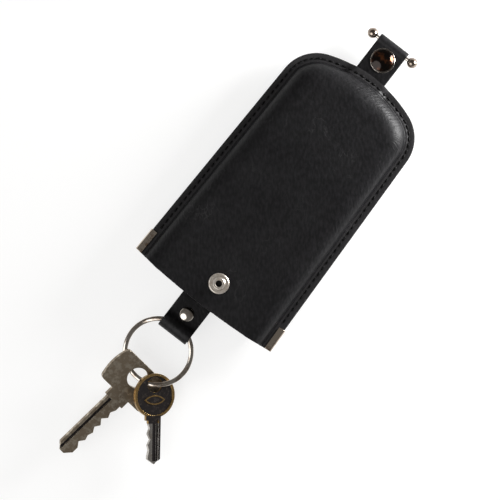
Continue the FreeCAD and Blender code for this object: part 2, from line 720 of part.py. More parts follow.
def make_small_key():
    """Cuts the small key: a round bow with a raised rim and a plain oval, and a grooved blade with cuts."""
    body = doc.addObject("PartDesign::Body", "small_key")
    subparts.append(body)
    middle, radius = "-small_hole_setout", "small_bow_diameter / 2"
    bow = new_sketch(body, XY)
    draw_circle(bow, "0", middle, radius)
    pad(bow, "small_thickness", both_ways=True)
    root, end = f"{middle} - {radius}", f"{middle} - {radius} - small_blade_length"
    half = "small_blade_width / 2"
    blade = new_sketch(body, XY)
    stop, heel = f"-{half} - small_stop", f"{root} - small_stop"
    draw(blade, [(stop, f"{root} + {half}"), (stop, heel), (f"-{half}", heel),
                 (f"-{half}", f"{end} + small_tip"), ("0", end), (half, f"{end} + small_tip"),
                 (half, f"{root} + {half}")])
    pad(blade, "small_thickness", both_ways=True)
    for face, away in (("small_thickness / 2", False), ("-small_thickness / 2", True)):
        field = new_sketch(body, XY, lift=face)
        draw_circle(field, "0", middle, f"{radius} - small_rim")
        pocket(field, "small_recess", reversed_=away)
        groove = new_sketch(body, XY, lift=face)
        draw_box(groove, "small_groove_offset - small_groove / 2", f"{end} - small_tip",
                 "small_groove_offset + small_groove / 2", heel)
        pocket(groove, "small_groove_depth", reversed_=away)
    plaque = new_sketch(body, XY, lift="small_thickness / 2")
    side, across = "small_plaque_length / 2", f"{middle} - small_plaque_drop"
    oval = dome_radius(side, "small_plaque_height / 2")
    draw(plaque, [(f"-{side}", across), (side, across)], {0: oval, 1: oval})
    pad(plaque, "small_recess", reversed_=True)
    hole = new_sketch(body, XY)
    draw_circle(hole, "0", "0", "small_hole / 2")
    pocket(hole, "2 * small_thickness", both_ways=True)
    cuts = new_sketch(body, XY)
    depths = [f"small_cut_depth * {share}" for share in SMALL_CUTS]
    draw(cuts, saw_teeth(f"-{half}", f"{root} - small_cut_start", "small_cut_pitch", depths, -1))
    pocket(cuts, "2 * small_thickness", both_ways=True)
    hang_key(body, "small")


# The whole case

make_front_panel()
make_back_panel()
make_clip("left_corner_clip", -1)
make_clip("right_corner_clip", 1)
make_stud()
make_strap()
make_rivet()
make_snap()
make_pull_bar()
make_split_ring()
make_door_key()
make_small_key()
doc.recompute()

for thing in doc.Objects:
    if "Invalid" in thing.State or "Error" in thing.State:
        raise RuntimeError(f"{thing.Label}: {thing.State}")
os.makedirs("parts", exist_ok=True)
for subpart in subparts:
    shape = subpart.Shape
    if shape.isNull() or not shape.isValid():
        raise RuntimeError(f"{subpart.Label}: no valid shape")
    shape.exportStep(os.path.join("parts", f"{subpart.Label}.step"))
    print(f"{subpart.Label}: {len(shape.Solids)} solid, {shape.Volume:.1f} mm3")
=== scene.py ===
"""Looks of a bell-shaped leather key case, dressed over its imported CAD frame.

Lengths in the classes are millimetres, and MM turns them to the frame's metres. X runs across the case,
Y from the mouth to the crown, and Z up through the front panel.
"""

import logging
import math
from collections.abc import Callable, Iterator
from contextlib import contextmanager
from dataclasses import dataclass, field
from enum import Enum, IntEnum

import bmesh
import bpy
import numpy as np
from mathutils import Matrix, Vector


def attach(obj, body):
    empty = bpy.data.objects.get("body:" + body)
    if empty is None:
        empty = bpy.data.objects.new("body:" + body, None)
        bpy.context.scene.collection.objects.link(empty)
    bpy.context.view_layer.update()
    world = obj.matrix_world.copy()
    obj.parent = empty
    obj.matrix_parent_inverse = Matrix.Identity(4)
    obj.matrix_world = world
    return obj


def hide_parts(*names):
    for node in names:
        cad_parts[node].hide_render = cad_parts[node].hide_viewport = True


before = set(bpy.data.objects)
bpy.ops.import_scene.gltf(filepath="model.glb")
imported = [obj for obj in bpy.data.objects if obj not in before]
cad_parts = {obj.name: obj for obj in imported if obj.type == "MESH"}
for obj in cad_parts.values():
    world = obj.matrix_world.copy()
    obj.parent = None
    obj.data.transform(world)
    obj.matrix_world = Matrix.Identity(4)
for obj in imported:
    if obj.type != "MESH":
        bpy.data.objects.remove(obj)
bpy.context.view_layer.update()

LOG = logging.getLogger("key_case")
MM = 0.001
# types that many hints name
Piece = bpy.types.Object
Tree = bpy.types.NodeTree
Node = bpy.types.Node
Socket = bpy.types.NodeSocket
# share of a normal along a direction from which a face counts as facing that way
FACING = 0.95
# steps that a rounded edge is made in
EDGE_STEPS = 3


class Body(Enum):
    """Bodies of the frame that a piece can ride on."""

    POUCH = "pouch"
    STRAP = "strap"
    PULL_BAR = "pull_bar"
    RING = "ring"
    DOOR_KEY = "door_key"
    SMALL_KEY = "small_key"


class Slot(Enum):
    """Material slots of the record."""

    LEATHER = "black_leather"
    SHEET = "nickel_sheet"
    NICKEL = "bright_nickel"
    STEEL = "spring_steel"
    NICKEL_SILVER = "worn_nickel_silver"
    BRASS = "worn_brass"


class Side(Enum):
    """Which half of the case a panel is."""

    FRONT = "front"
    BACK = "back"


class Pick(Enum):
    """What an edit-mode selection is made of."""

    VERTS = "VERT"
    FACES = "FACE"


class KeyLayer(IntEnum):
    """Places of a key's finishes among its materials."""

    BODY = 0
    SUNK = 1
    RIM = 2


def linear(code: str) -> tuple[float, float, float, float]:
    """Turns an sRGB hex colour to the linear colour that a socket takes.

    Args:
        code: colour as "#rrggbb".

    Returns:
        Linear red, green and blue, with an alpha of 1.
    """
    shares = [int(code[at : at + 2], 16) / 255 for at in (1, 3, 5)]
    red, green, blue = (s / 12.92 if s <= 0.04045 else ((s + 0.055) / 1.055) ** 2.4 for s in shares)
    return red, green, blue, 1.0


def add(tree: Tree, kind: str, links: dict | None = None, **settings: object) -> Node:
    """Adds one shader node with its settings and links.

    Args:
        tree: node tree that gets it.
        kind: node type.
        links: input name or number to a constant, to a socket, or to a node for its first live output.
        **settings: properties of the node.

    Returns:
        The new node.
    """
    made = tree.nodes.new(kind)
    for name, value in settings.items():
        setattr(made, name, value)
    for name, value in (links or {}).items():
        if isinstance(value, Node):
            value = next(socket for socket in value.outputs if socket.enabled)
        if isinstance(value, Socket):
            tree.links.new(value, made.inputs[name])
        else:
            made.inputs[name].default_value = value
    return made


def per_mm(size: float) -> float:
    """Texture scale at which a pattern in metres repeats about every size millimetres."""
    return 1.0 / (size * MM)


def strokes(
    tree: Tree, place: Socket, lie: float, stretch: tuple[float, float, float], size: float, detail: float
) -> Node:
    """Draws a pattern out along one direction, as streaks, creases and scratches are.

    Args:
        tree: the material's nodes.
        place: the surface's place.
        lie: degrees that the direction is turned by.
        stretch: how far the pattern is drawn out along each turned axis.
        size: the pattern's size in millimetres.
        detail: how finely it is broken up.

    Returns:
        The node with the pattern.
    """
    turned = {"Vector": place, "Rotation": (0.0, 0.0, math.radians(lie)), "Scale": stretch}
    laid = add(tree, "ShaderNodeMapping", turned, vector_type="TEXTURE")
    return add(tree, "ShaderNodeTexNoise", {"Vector": laid, "Scale": per_mm(size), "Detail": detail})


def alone(piece: Piece) -> None:
    """Makes a piece the only selected object and the active one.

    Args:
        piece: the object.
    """
    bpy.ops.object.select_all(action="DESELECT")
    piece.select_set(True)
    bpy.context.view_layer.objects.active = piece


@contextmanager
def editing(piece: Piece) -> Iterator[bmesh.types.BMesh]:
    """Opens a piece in edit mode with nothing of it selected, and closes it again.

    Args:
        piece: mesh object to work on.

    Returns:
        The edit mesh, which is good until the next operator changes it.
    """
    alone(piece)
    bpy.ops.object.mode_set(mode="EDIT")
    bpy.ops.mesh.select_all(action="DESELECT")
    yield bmesh.from_edit_mesh(piece.data)
    bpy.ops.object.mode_set(mode="OBJECT")


def pick(piece: Piece, kind: Pick, test: Callable[[object], bool]) -> None:
    """Selects what passes a test in a piece that is in edit mode.

    Args:
        piece: mesh object in edit mode.
        kind: vertices or faces.
        test: says of one element whether it is selected.
    """
    bpy.ops.mesh.select_mode(type=kind.value)
    bpy.ops.mesh.select_all(action="DESELECT")
    form = bmesh.from_edit_mesh(piece.data)
    for element in form.faces if kind is Pick.FACES else form.verts:
        if test(element):
            element.select_set(True)
    form.select_flush_mode()
    bmesh.update_edit_mesh(piece.data)


def merge(gap: float) -> None:
    """Merges points within a gap in millimetres in the piece in edit mode, and selects all of it."""
    bpy.ops.mesh.select_all(action="SELECT")
    bpy.ops.mesh.remove_doubles(threshold=gap * MM)


def finish_with(piece: Piece, kind: str, **settings: object) -> None:
    """Adds a modifier to a piece and applies it.

    Args:
        piece: mesh object.
        kind: modifier type.
        **settings: properties of the modifier.
    """
    alone(piece)
    made = piece.modifiers.new(kind.lower(), kind)
    for name, value in settings.items():
        setattr(made, name, value)
    bpy.ops.object.modifier_apply(modifier=made.name)


def break_edges(piece: Piece, width: float, angle: float) -> None:
    """Rounds a piece's edges that turn by more than an angle in degrees, over a width in millimetres."""
    sharp = {"limit_method": "ANGLE", "angle_limit": math.radians(angle)}
    finish_with(piece, "BEVEL", width=width * MM, segments=EDGE_STEPS, **sharp)


def shade(piece: Piece, angle: float) -> None:
    """Shades a piece smooth, except over edges that turn by more than an angle in degrees."""
    alone(piece)
    bpy.ops.object.shade_smooth_by_angle(angle=math.radians(angle))


def points_of(piece: Piece) -> np.ndarray:
    """Reads where a piece's vertices are.

    Args:
        piece: mesh object.

    Returns:
        Their places in millimetres, one row each.
    """
    flat = np.empty(len(piece.data.vertices) * 3)
    piece.data.vertices.foreach_get("co", flat)
    return flat.reshape(-1, 3) / MM


def set_points(piece: Piece, points: np.ndarray) -> None:
    """Moves a piece's vertices to places in millimetres."""
    piece.data.vertices.foreach_set("co", (points * MM).ravel())
    piece.data.update()


def store(piece: Piece, name: str, values: np.ndarray) -> None:
    """Keeps one number for each vertex of a piece, for its material to read."""
    held = piece.data.attributes.new(name, "FLOAT", "POINT")
    held.data.foreach_set("value", values.astype(np.float32))


def weigh(piece: Piece, name: str, weights: np.ndarray) -> None:
    """Puts a piece's vertices in a group, for a modifier to read.

    Args:
        piece: mesh object.
        name: the group's name.
        weights: one weight for each vertex.
    """
    group = piece.vertex_groups.new(name=name)
    for index, weight in enumerate(weights):
        group.add([index], float(weight), "REPLACE")


def smooth_step(low: float, high: float, values: np.ndarray) -> np.ndarray:
    """Goes smoothly from 0 at low to 1 at high."""
    share = np.clip((values - low) / (high - low), 0.0, 1.0)
    return share * share * (3.0 - 2.0 * share)


def settle_on(piece: Piece, body: Body, slot: Slot, *nodes: str) -> None:
    """Rides a piece on its body and lets it stand for its nodes.

    Args:
        piece: the finished piece.
        body: body that it moves with.
        slot: not used.
        *nodes: CAD nodes that it replaces.
    """
    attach(piece, body.value)
    if nodes:
        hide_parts(*nodes)
    LOG.info("%s rides %s with %d faces", piece.name, body.value, len(piece.data.polygons))


class Finish:
    """A finish that makes its material once and hands it to every piece that asks."""

    name: str

    def material(self) -> bpy.types.Material:
        """Makes the finish's material on first use.

        Returns:
            The material, the same one each time.
        """
        made = bpy.data.materials.get(self.name)
        if made is None:
            made = bpy.data.materials.new(self.name)
            made.use_nodes = True
            tree = made.node_tree
            tree.nodes.clear()
            shader = add(tree, "ShaderNodeBsdfPrincipled", self.paint(tree))
            add(tree, "ShaderNodeOutputMaterial", {"Surface": shader})
        return made

    def paint(self, tree: Tree) -> dict[str, object]:
        """Adds the finish's own nodes to its tree and says what feeds the shader."""
        raise NotImplementedError


def wear(piece: Piece, *finishes: Finish) -> None:
    """Gives a piece finishes as its next materials, in order."""
    for finish in finishes:
        piece.data.materials.append(finish.material())


@dataclass(frozen=True)
class MouldedLeather(Finish):
    """Cow leather, drum-dyed black, pressed over a form while wet and waxed.

    To the eye it is near black with a soft wax gloss. The grain is a fine net of pebbles over streaks that
    run with the hide, a few thin pale creases wander across the face, and short stretch wrinkles slant down
    the shoulder where the leather was drawn round the form. The sewn margin is painted paler.
    """

    name: str = "moulded_black_cow_leather"
    dye: str = "#111112"
    rubbed: str = "#1f1e20"
    pale: str = "#373637"
    moulded: bool = True
    # the real grain is about 0.6 mm, too fine to show here, so it and the streaks are drawn twice as coarse
    grain: float = 1.3
    streak: float = 0.9
    crease: float = 6.0
    cloud: float = 16.0
    # degrees from the case's X axis to the way that the hide runs, and how far the creases stray from it
    lie: float = 37.65
    stray: float = 8.0
    # wrinkles of the shoulder: spacing, slant, and how much slower they change along themselves than across
    wrinkle: float = 1.3
    slant: float = 0.83
    run_share: float = 0.2
    # where they begin and fade out, and where the paler margin ends, in from the edge
    foot: tuple[float, float] = (3.9, 4.5)
    fade: tuple[float, float] = (11.0, 6.5)
    ridge: tuple[float, float] = (3.3, 3.7)
    roughness: float = 0.42
    # how far the wax lowers and wear raises the roughness
    uneven: tuple[float, float] = (0.07, 0.09)

    def paint(self, tree: Tree) -> dict[str, object]:
        """Adds dye, streaks, grain and creases, and what moulding leaves.

        Args:
            tree: the material's nodes.

        Returns:
            What feeds the shader.
        """
        place = add(tree, "ShaderNodeTexCoord").outputs["Object"]
        patches = {"Vector": place, "Scale": per_mm(self.cloud), "Detail": 4.0}
        cloud = add(tree, "ShaderNodeTexNoise", patches)
        streak = strokes(tree, place, self.lie, stretch=(1.0, 2.6, 1.0), size=self.streak, detail=4.0)
        pebbles = {"Vector": place, "Scale": per_mm(self.grain), "Randomness": 0.9}
        grain = add(tree, "ShaderNodeTexVoronoi", pebbles, feature="SMOOTH_F1")
        crease = self.creases(tree, place, cloud)
        bump = add(tree, "ShaderNodeBump", {"Height": crease, "Strength": 0.3, "Distance": 0.2 * MM})
        relief = {"Height": grain, "Strength": 0.35, "Distance": 0.16 * MM, "Normal": bump}
        bump = add(tree, "ShaderNodeBump", relief, invert=True)
        relief = {"Height": streak, "Strength": 0.3, "Distance": 0.16 * MM, "Normal": bump}
        bump = add(tree, "ShaderNodeBump", relief)
        worn = add(tree, "ShaderNodeMapRange", {"Value": streak, "From Min": 0.38, "From Max": 0.72})
        shades = {0: worn, 6: linear(self.dye), 7: linear(self.rubbed)}
        colour = add(tree, "ShaderNodeMix", shades, data_type="RGBA")
        colour = add(tree, "ShaderNodeMix", {0: crease, 6: colour, 7: linear(self.pale)}, data_type="RGBA")
        if self.moulded:
            colour, bump = self.press(tree, colour, bump)
        waxed, dry = self.roughness - self.uneven[0], self.roughness + self.uneven[1]
        spread = {"Value": cloud, "From Min": 0.3, "From Max": 0.7, "To Min": waxed, "To Max": dry}
        gloss = add(tree, "ShaderNodeMapRange", spread)
        return {"Base Color": colour, "Roughness": gloss, "Normal": bump, "Specular IOR Level": 0.18}

    def creases(self, tree: Tree, place: Socket, cloud: Node) -> Node:
        """Draws a few thin creases along the level lines of a stretched noise.

        Args:
            tree: the material's nodes.
            place: the surface's place.
            cloud: large noise that says where creases are seen.

        Returns:
            The node that is over 0 on a crease and 0 beside it.
        """
        lie = self.lie + self.stray
        bend = strokes(tree, place, lie, stretch=(1.0, 1.8, 1.0), size=self.crease, detail=3.0)
        off = add(tree, "ShaderNodeMath", {0: bend, 1: 0.5}, operation="SUBTRACT")
        off = add(tree, "ShaderNodeMath", {0: off}, operation="ABSOLUTE")
        thin = {"Value": off, "From Max": 0.016, "To Min": 0.4, "To Max": 0.0}
        line = add(tree, "ShaderNodeMapRange", thin, interpolation_type="SMOOTHSTEP")
        seldom = add(tree, "ShaderNodeMapRange", {"Value": cloud, "From Min": 0.53, "From Max": 0.66})
        return add(tree, "ShaderNodeMath", {0: line, 1: seldom}, operation="MULTIPLY")

    def press(self, tree: Tree, colour: Node, bump: Node) -> tuple[Node, Node]:
        """Adds the slanted wrinkles of the shoulder and the margin, which is painted paler up to its ridge.

        Args:
            tree: the material's nodes.
            colour: the colour so far.
            bump: the bump so far.

        Returns:
            The colour with the margin and the bump with the wrinkles.
        """
        run = add(tree, "ShaderNodeAttribute", attribute_name="edge_run").outputs["Fac"]
        depth = add(tree, "ShaderNodeAttribute", attribute_name="edge_depth").outputs["Fac"]
        across = add(tree, "ShaderNodeMath", {0: depth, 1: -self.slant, 2: run}, operation="MULTIPLY_ADD")
        along = add(tree, "ShaderNodeMath", {0: depth, 1: self.run_share}, operation="MULTIPLY")
        place = add(tree, "ShaderNodeCombineXYZ", {"X": across, "Y": along})
        folds = {"Vector": place, "Scale": 1.0 / self.wrinkle, "Detail": 3.0}
        wrinkle = add(tree, "ShaderNodeTexNoise", folds)
        start = {"Value": depth, "From Min": self.foot[0], "From Max": self.foot[1]}
        above = add(tree, "ShaderNodeMapRange", start)
        end = {"Value": depth, "From Min": self.fade[0], "From Max": self.fade[1]}
        below = add(tree, "ShaderNodeMapRange", end, interpolation_type="SMOOTHSTEP")
        zone = add(tree, "ShaderNodeMath", {0: above, 1: below}, operation="MULTIPLY")
        drawn = add(tree, "ShaderNodeMath", {0: wrinkle, 1: zone}, operation="MULTIPLY")
        relief = {"Height": drawn, "Strength": 0.45, "Distance": 0.45 * MM, "Normal": bump}
        bump = add(tree, "ShaderNodeBump", relief)
        # the margin is painted paler out to its ridge
        edge = {"Value": depth, "From Min": self.ridge[0], "From Max": self.ridge[1]}
        margin = add(tree, "ShaderNodeMapRange", {**edge, "To Min": 0.45, "To Max": 0.0})
        colour = add(tree, "ShaderNodeMix", {0: margin, 6: colour, 7: linear(self.pale)}, data_type="RGBA")
        return colour, bump


@dataclass(frozen=True)
class FleshSide(Finish):
    """The leather's unfinished inside: short suede fibre, dark grey-brown, without gloss."""

    name: str = "leather_flesh_side"
    fibre: str = "#1d1a19"
    pale: str = "#332e2b"
    nap: float = 0.7

    def paint(self, tree: Tree) -> dict[str, object]:
        """Adds the nap's mottle and its rough bump.

        Args:
            tree: the material's nodes.

        Returns:
            What feeds the shader.
        """
        place = add(tree, "ShaderNodeTexCoord").outputs["Object"]
        nap = add(tree, "ShaderNodeTexNoise", {"Vector": place, "Scale": per_mm(self.nap), "Detail": 5.0})
        shades = {0: nap, 6: linear(self.fibre), 7: linear(self.pale)}
        colour = add(tree, "ShaderNodeMix", shades, data_type="RGBA")
        bump = add(tree, "ShaderNodeBump", {"Height": nap, "Strength": 0.6, "Distance": 0.2 * MM})
        return {"Base Color": colour, "Normal": bump, "Roughness": 0.95, "Specular IOR Level": 0.15}


@dataclass(frozen=True)
class CutEdge(Finish):
    """Cut leather edge, dyed black and burnished: smoother than the face, with a faint mottle of fibre."""

    name: str = "burnished_leather_edge"
    dye: str = "#0f0e0f"
    fibre: str = "#2b2624"
    mottle: float = 0.5

    def paint(self, tree: Tree) -> dict[str, object]:
        """Adds the fibre's mottle and a faint bump.

        Args:
            tree: the material's nodes.

        Returns:
            What feeds the shader.
        """
        place = add(tree, "ShaderNodeTexCoord").outputs["Object"]
        spots = {"Vector": place, "Scale": per_mm(self.mottle), "Detail": 3.0}
        fibre = add(tree, "ShaderNodeTexNoise", spots)
        share = add(tree, "ShaderNodeMapRange", {"Value": fibre, "From Min": 0.45, "From Max": 0.75})
        shades = {0: share, 6: linear(self.dye), 7: linear(self.fibre)}
        colour = add(tree, "ShaderNodeMix", shades, data_type="RGBA")
        bump = add(tree, "ShaderNodeBump", {"Height": fibre, "Strength": 0.3, "Distance": 0.1 * MM})
        return {"Base Color": colour, "Normal": bump, "Roughness": 0.4, "Specular IOR Level": 0.3}


@dataclass(frozen=True)
class WaxedThread(Finish):
    """Waxed polyester thread, black: plies laid together, with a dull wax gloss, and the plies' crests
    painted a little lighter as a painted sheen.
    """

    name: str = "waxed_black_thread"
    ply: str = "#030303"
    # the crests of the plies are painted lighter, a painted sheen
    crest_sheen: str = "#0c0c0c"
    lay: float = 0.5

    def paint(self, tree: Tree) -> dict[str, object]:
        """Adds the lay of the plies as slanted bands, lighter on their crests as a painted sheen.

        Args:
            tree: the material's nodes.

        Returns:
            What feeds the shader.
        """
        place = add(tree, "ShaderNodeTexCoord").outputs["Object"]
        bands = {"Vector": place, "Scale": per_mm(self.lay) / (2 * math.pi), "Distortion": 0.6}
        plies = add(tree, "ShaderNodeTexWave", bands, bands_direction="DIAGONAL").outputs["Fac"]
        shades = {0: plies, 6: linear(self.ply), 7: linear(self.crest_sheen)}
        colour = add(tree, "ShaderNodeMix", shades, data_type="RGBA")
        bump = add(tree, "ShaderNodeBump", {"Height": plies, "Strength": 0.6, "Distance": 0.1 * MM})
        return {"Base Color": colour, "Normal": bump, "Roughness": 0.6, "Specular IOR Level": 0.14}


@dataclass(frozen=True)
class Metal(Finish):
    """Plated or worn metal, clouded with a second colour where it is rubbed or tarnished, and scratched. On
    the snap's cap the clouds are painted copper reflections.
    """

    name: str
    main: str
    clouded: str
    # roughness of the main colour and of the clouds
    main_rough: float
    cloud_rough: float
    # size of the clouds and spacing of the scratches, drawn about four times as coarse as real ones
    cloud: float = 3.0
    scratch: float = 0.45
    # degrees that the scratches are turned by, and their depth
    lie: float = 33.0
    depth: float = 0.02
    # levels of the pattern between which a cloud comes in
    low: float = 0.45
    high: float = 0.65

    def paint(self, tree: Tree) -> dict[str, object]:
        """Adds the clouds, their roughness and hairline scratches along one lie.

        Args:
            tree: the material's nodes.

        Returns:
            What feeds the shader.
        """
        place = add(tree, "ShaderNodeTexCoord").outputs["Object"]
        spots = {"Vector": place, "Scale": per_mm(self.cloud), "Detail": 6.0, "Roughness": 0.62}
        cloud = add(tree, "ShaderNodeTexNoise", spots)
        edge = {"Value": cloud, "From Min": self.low, "From Max": self.high}
        share = add(tree, "ShaderNodeMapRange", edge, interpolation_type="SMOOTHSTEP")
        shades = {0: share, 6: linear(self.main), 7: linear(self.clouded)}
        colour = add(tree, "ShaderNodeMix", shades, data_type="RGBA")
        spread = {"Value": share, "To Min": self.main_rough, "To Max": self.cloud_rough}
        gloss = add(tree, "ShaderNodeMapRange", spread)
        hair = strokes(tree, place, self.lie, stretch=(14.0, 1.0, 1.0), size=self.scratch, detail=2.0)
        bump = add(tree, "ShaderNodeBump", {"Height": hair, "Strength": 0.5, "Distance": self.depth * MM})
        return {"Base Color": colour, "Roughness": gloss, "Normal": bump, "Metallic": 1.0}


@dataclass(frozen=True)
class MattPaper(Finish):
    """Matt white paper under the case: white to camera and mirrors, and grey in the case's shadow."""

    name: str = "matt_white_paper"
    tone: str = "#a2a2a1"
    white: str = "#ffffff"
    # share of the white that is seen apart from the lamps' light
    glow: float = 0.72

    def paint(self, tree: Tree) -> dict[str, object]:
        """Adds the white that camera, mirror and glass rays see.

        Args:
            tree: the material's nodes.

        Returns:
            What feeds the shader.
        """
        rays = add(tree, "ShaderNodeLightPath").outputs
        seen = rays["Is Camera Ray"]
        for kind in ("Is Glossy Ray", "Is Transmission Ray"):
            seen = add(tree, "ShaderNodeMath", {0: seen, 1: rays[kind]}, operation="MAXIMUM")
        glow = add(tree, "ShaderNodeMath", {0: seen, 1: self.glow}, operation="MULTIPLY")
        sheet = {"Base Color": linear(self.tone), "Roughness": 0.9, "Specular IOR Level": 0.1}
        return {**sheet, "Emission Color": linear(self.white), "Emission Strength": glow}


# bright nickel plate on brass: warm white with faint clouds, for the rivet and the socket; on the snap
# cap's rim it is a painted reflection
BRIGHT_NICKEL = Metal("bright_nickel_plate", "#d8d1c8", "#b3a99e", 0.12, 0.22, depth=0.012)
# satin nickel plate, brushed by use, for the stud and its eyelet
SATIN_NICKEL = Metal("satin_nickel_plate", "#e4dcd2", "#c0b5a8", 0.3, 0.42, depth=0.012)
# nickel plate that fingers have dulled to a warm grey, for the pull bar's balls
HANDLED_NICKEL = Metal("handled_nickel_plate", "#a89b8f", "#7d7065", 0.1, 0.2, depth=0.01)
# nickel plate for the snap's cap, painted near black as a painted reflection of the dark room overhead,
# with spots painted copper as painted reflections
PAINTED_REFLECTION_NICKEL = Metal("nickel_with_painted_dark_reflection", "#2e2a28", "#8a5638", 0.1, 0.18, depth=0.008, low=0.5, high=0.66)
# nickel-plated sheet steel, its plate rubbed to a brownish grey, for the corner clips
SHEET_NICKEL = Metal("nickel_plated_sheet", "#d2c6b8", "#6b5644", 0.14, 0.28, cloud=4.0, depth=0.006)
# plated spring wire, drawn and polished, for the ring, the bar's rod and the socket's spring
SPRING_STEEL = Metal("plated_spring_steel", "#d6cfc6", "#a39588", 0.08, 0.18, cloud=4.0, depth=0.01)
# worn nickel silver: grey-brown and dull from the pocket, with paler rubbed spots, for the door key
NICKEL_SILVER = Metal("pocket_worn_nickel_silver", "#8b7e6d", "#c6bba9", 0.46, 0.32, cloud=2.2, depth=0.06)
# dark tarnish that stays where a key is sunk, with specks where it has flaked
TARNISH = Metal(
    "tarnished_brass_field", "#2f2c2c", "#625a54", 0.5, 0.36, cloud=1.2, depth=0.03, low=0.5, high=0.8
)
# brass that shows golden where the plate is rubbed off along a key's rim
BARE_BRASS = Metal("rubbed_brass_rim", "#b5945f", "#7a6442", 0.26, 0.42, cloud=2.0)
# nickel plate on a key's blade, scratched along by the lock
BLADE_NICKEL = Metal("scratched_blade_plate", "#c9c5c0", "#8d867d", 0.22, 0.34, cloud=4.0, lie=127.0)

LEATHER = MouldedLeather()
# the strap's leather is cut flat and oiled: as black, a little glossier and finer in its grain
STRAP_LEATHER = MouldedLeather(
    "oiled_black_strap_leather", dye="#0f0f10", rubbed="#201f21", moulded=False, grain=1.1, roughness=0.4
)
FLESH = FleshSide()
EDGE = CutEdge()
THREAD = WaxedThread()


@dataclass(frozen=True)
class Bell:
    """Outline of the sewn panels: tangent arcs over a crown, and sides that lean out to the mouth."""

    mouth_half: float = 33.0
    mouth_y: float = -54.3
    # how far the mouth's shallow curve goes down, and how far up the panel it is felt
    mouth_drop: float = 1.7
    mouth_reach: float = 16.0
    crown_radius: float = 56.0
    corner_radius: float = 16.0
    corner_x: float = 14.3
    # how far the working outline runs past the mouth, so that the mouth is cut and not moulded
    overrun: float = 6.0
    side_steps: int = 110
    corner_steps: int = 18
    crown_steps: int = 38
    round_steps: int = 100

    @property
    def corner_y(self) -> float:
        """Height of the corner arcs' centres."""
        return math.sqrt((self.crown_radius - self.corner_radius) ** 2 - self.corner_x**2)

    @property
    def lean(self) -> float:
        """Angle of the right side's outward normal over the X axis, in radians."""
        across, up = self.corner_x - self.mouth_half, self.corner_y - self.mouth_y
        return math.atan2(up, across) - math.asin(self.corner_radius / math.hypot(across, up)) - math.pi / 2

    @property
    def across_steps(self) -> int:
        """Steps over the crown from the middle of one corner to that of the other."""
        return self.crown_steps + self.corner_steps

    def right_half(self) -> list[tuple[float, float]]:
        """Draws the right half of the outline: side, corner and crown.

        Returns:
            Points from the right overrun corner to the middle of the crown.
        """
        lean, join = self.lean, math.atan2(self.corner_y, self.corner_x)
        radius = self.corner_radius
        tangent = (self.corner_x + radius * math.cos(lean), self.corner_y + radius * math.sin(lean))
        run = math.hypot(tangent[0] - self.mouth_half, tangent[1] - self.mouth_y) + self.overrun
        points = []
        for step in range(self.side_steps):
            left = run * (1 - step / self.side_steps)
            points.append((tangent[0] + left * math.sin(lean), tangent[1] - left * math.cos(lean)))
        for step in range(self.corner_steps):
            angle = lean + (join - lean) * step / self.corner_steps
            x, y = self.corner_x + radius * math.cos(angle), self.corner_y + radius * math.sin(angle)
            points.append((x, y))
        for step in range(self.crown_steps // 2 + 1):
            angle = join + (math.pi / 2 - join) * step / (self.crown_steps // 2)
            points.append((self.crown_radius * math.cos(angle), self.crown_radius * math.sin(angle)))
        return points

    def edge(self) -> np.ndarray:
        """Draws the open outline.

        Returns:
            Rows of x and y from the right overrun corner over the crown to the left one.
        """
        right = self.right_half()
        left = [(-x, y) for x, y in reversed(right[:-1])]
        return np.array(right + left)

    def ring(self) -> np.ndarray:
        """Draws the closed outline, with a round end below the mouth.

        Returns:
            Rows of x and y, once round.
        """
        edge = self.edge()
        radius = edge[0][0] / math.cos(self.lean)
        middle = edge[0][1] - radius * math.sin(self.lean)
        share = np.arange(1, self.round_steps) / self.round_steps
        turn = math.pi - self.lean + (math.pi + 2 * self.lean) * share
        below = np.column_stack([radius * np.cos(turn), middle + radius * np.sin(turn)])
        return np.vstack([edge, below])

    def measure(self, points: np.ndarray) -> tuple[np.ndarray, np.ndarray]:
        """Measures points from the outline's edge.

        Args:
            points: rows of x and y.

        Returns:
            How far in from the edge each point is, and how far along the edge.
        """
        edge = self.edge()
        start, span = edge[:-1], np.diff(edge, axis=0)
        length = np.linalg.norm(span, axis=1)
        before = np.concatenate([[0.0], np.cumsum(length)[:-1]])
        best = np.full(len(points), np.inf)
        along = np.zeros(len(points))
        for at in range(len(span)):
            offset = points - start[at]
            share = np.clip(offset @ span[at] / length[at] ** 2, 0.0, 1.0)
            far = np.linalg.norm(offset - share[:, None] * span[at], axis=1)
            nearer = far < best
            best[nearer] = far[nearer]
            along[nearer] = before[at] + share[nearer] * length[at]
        return best, along


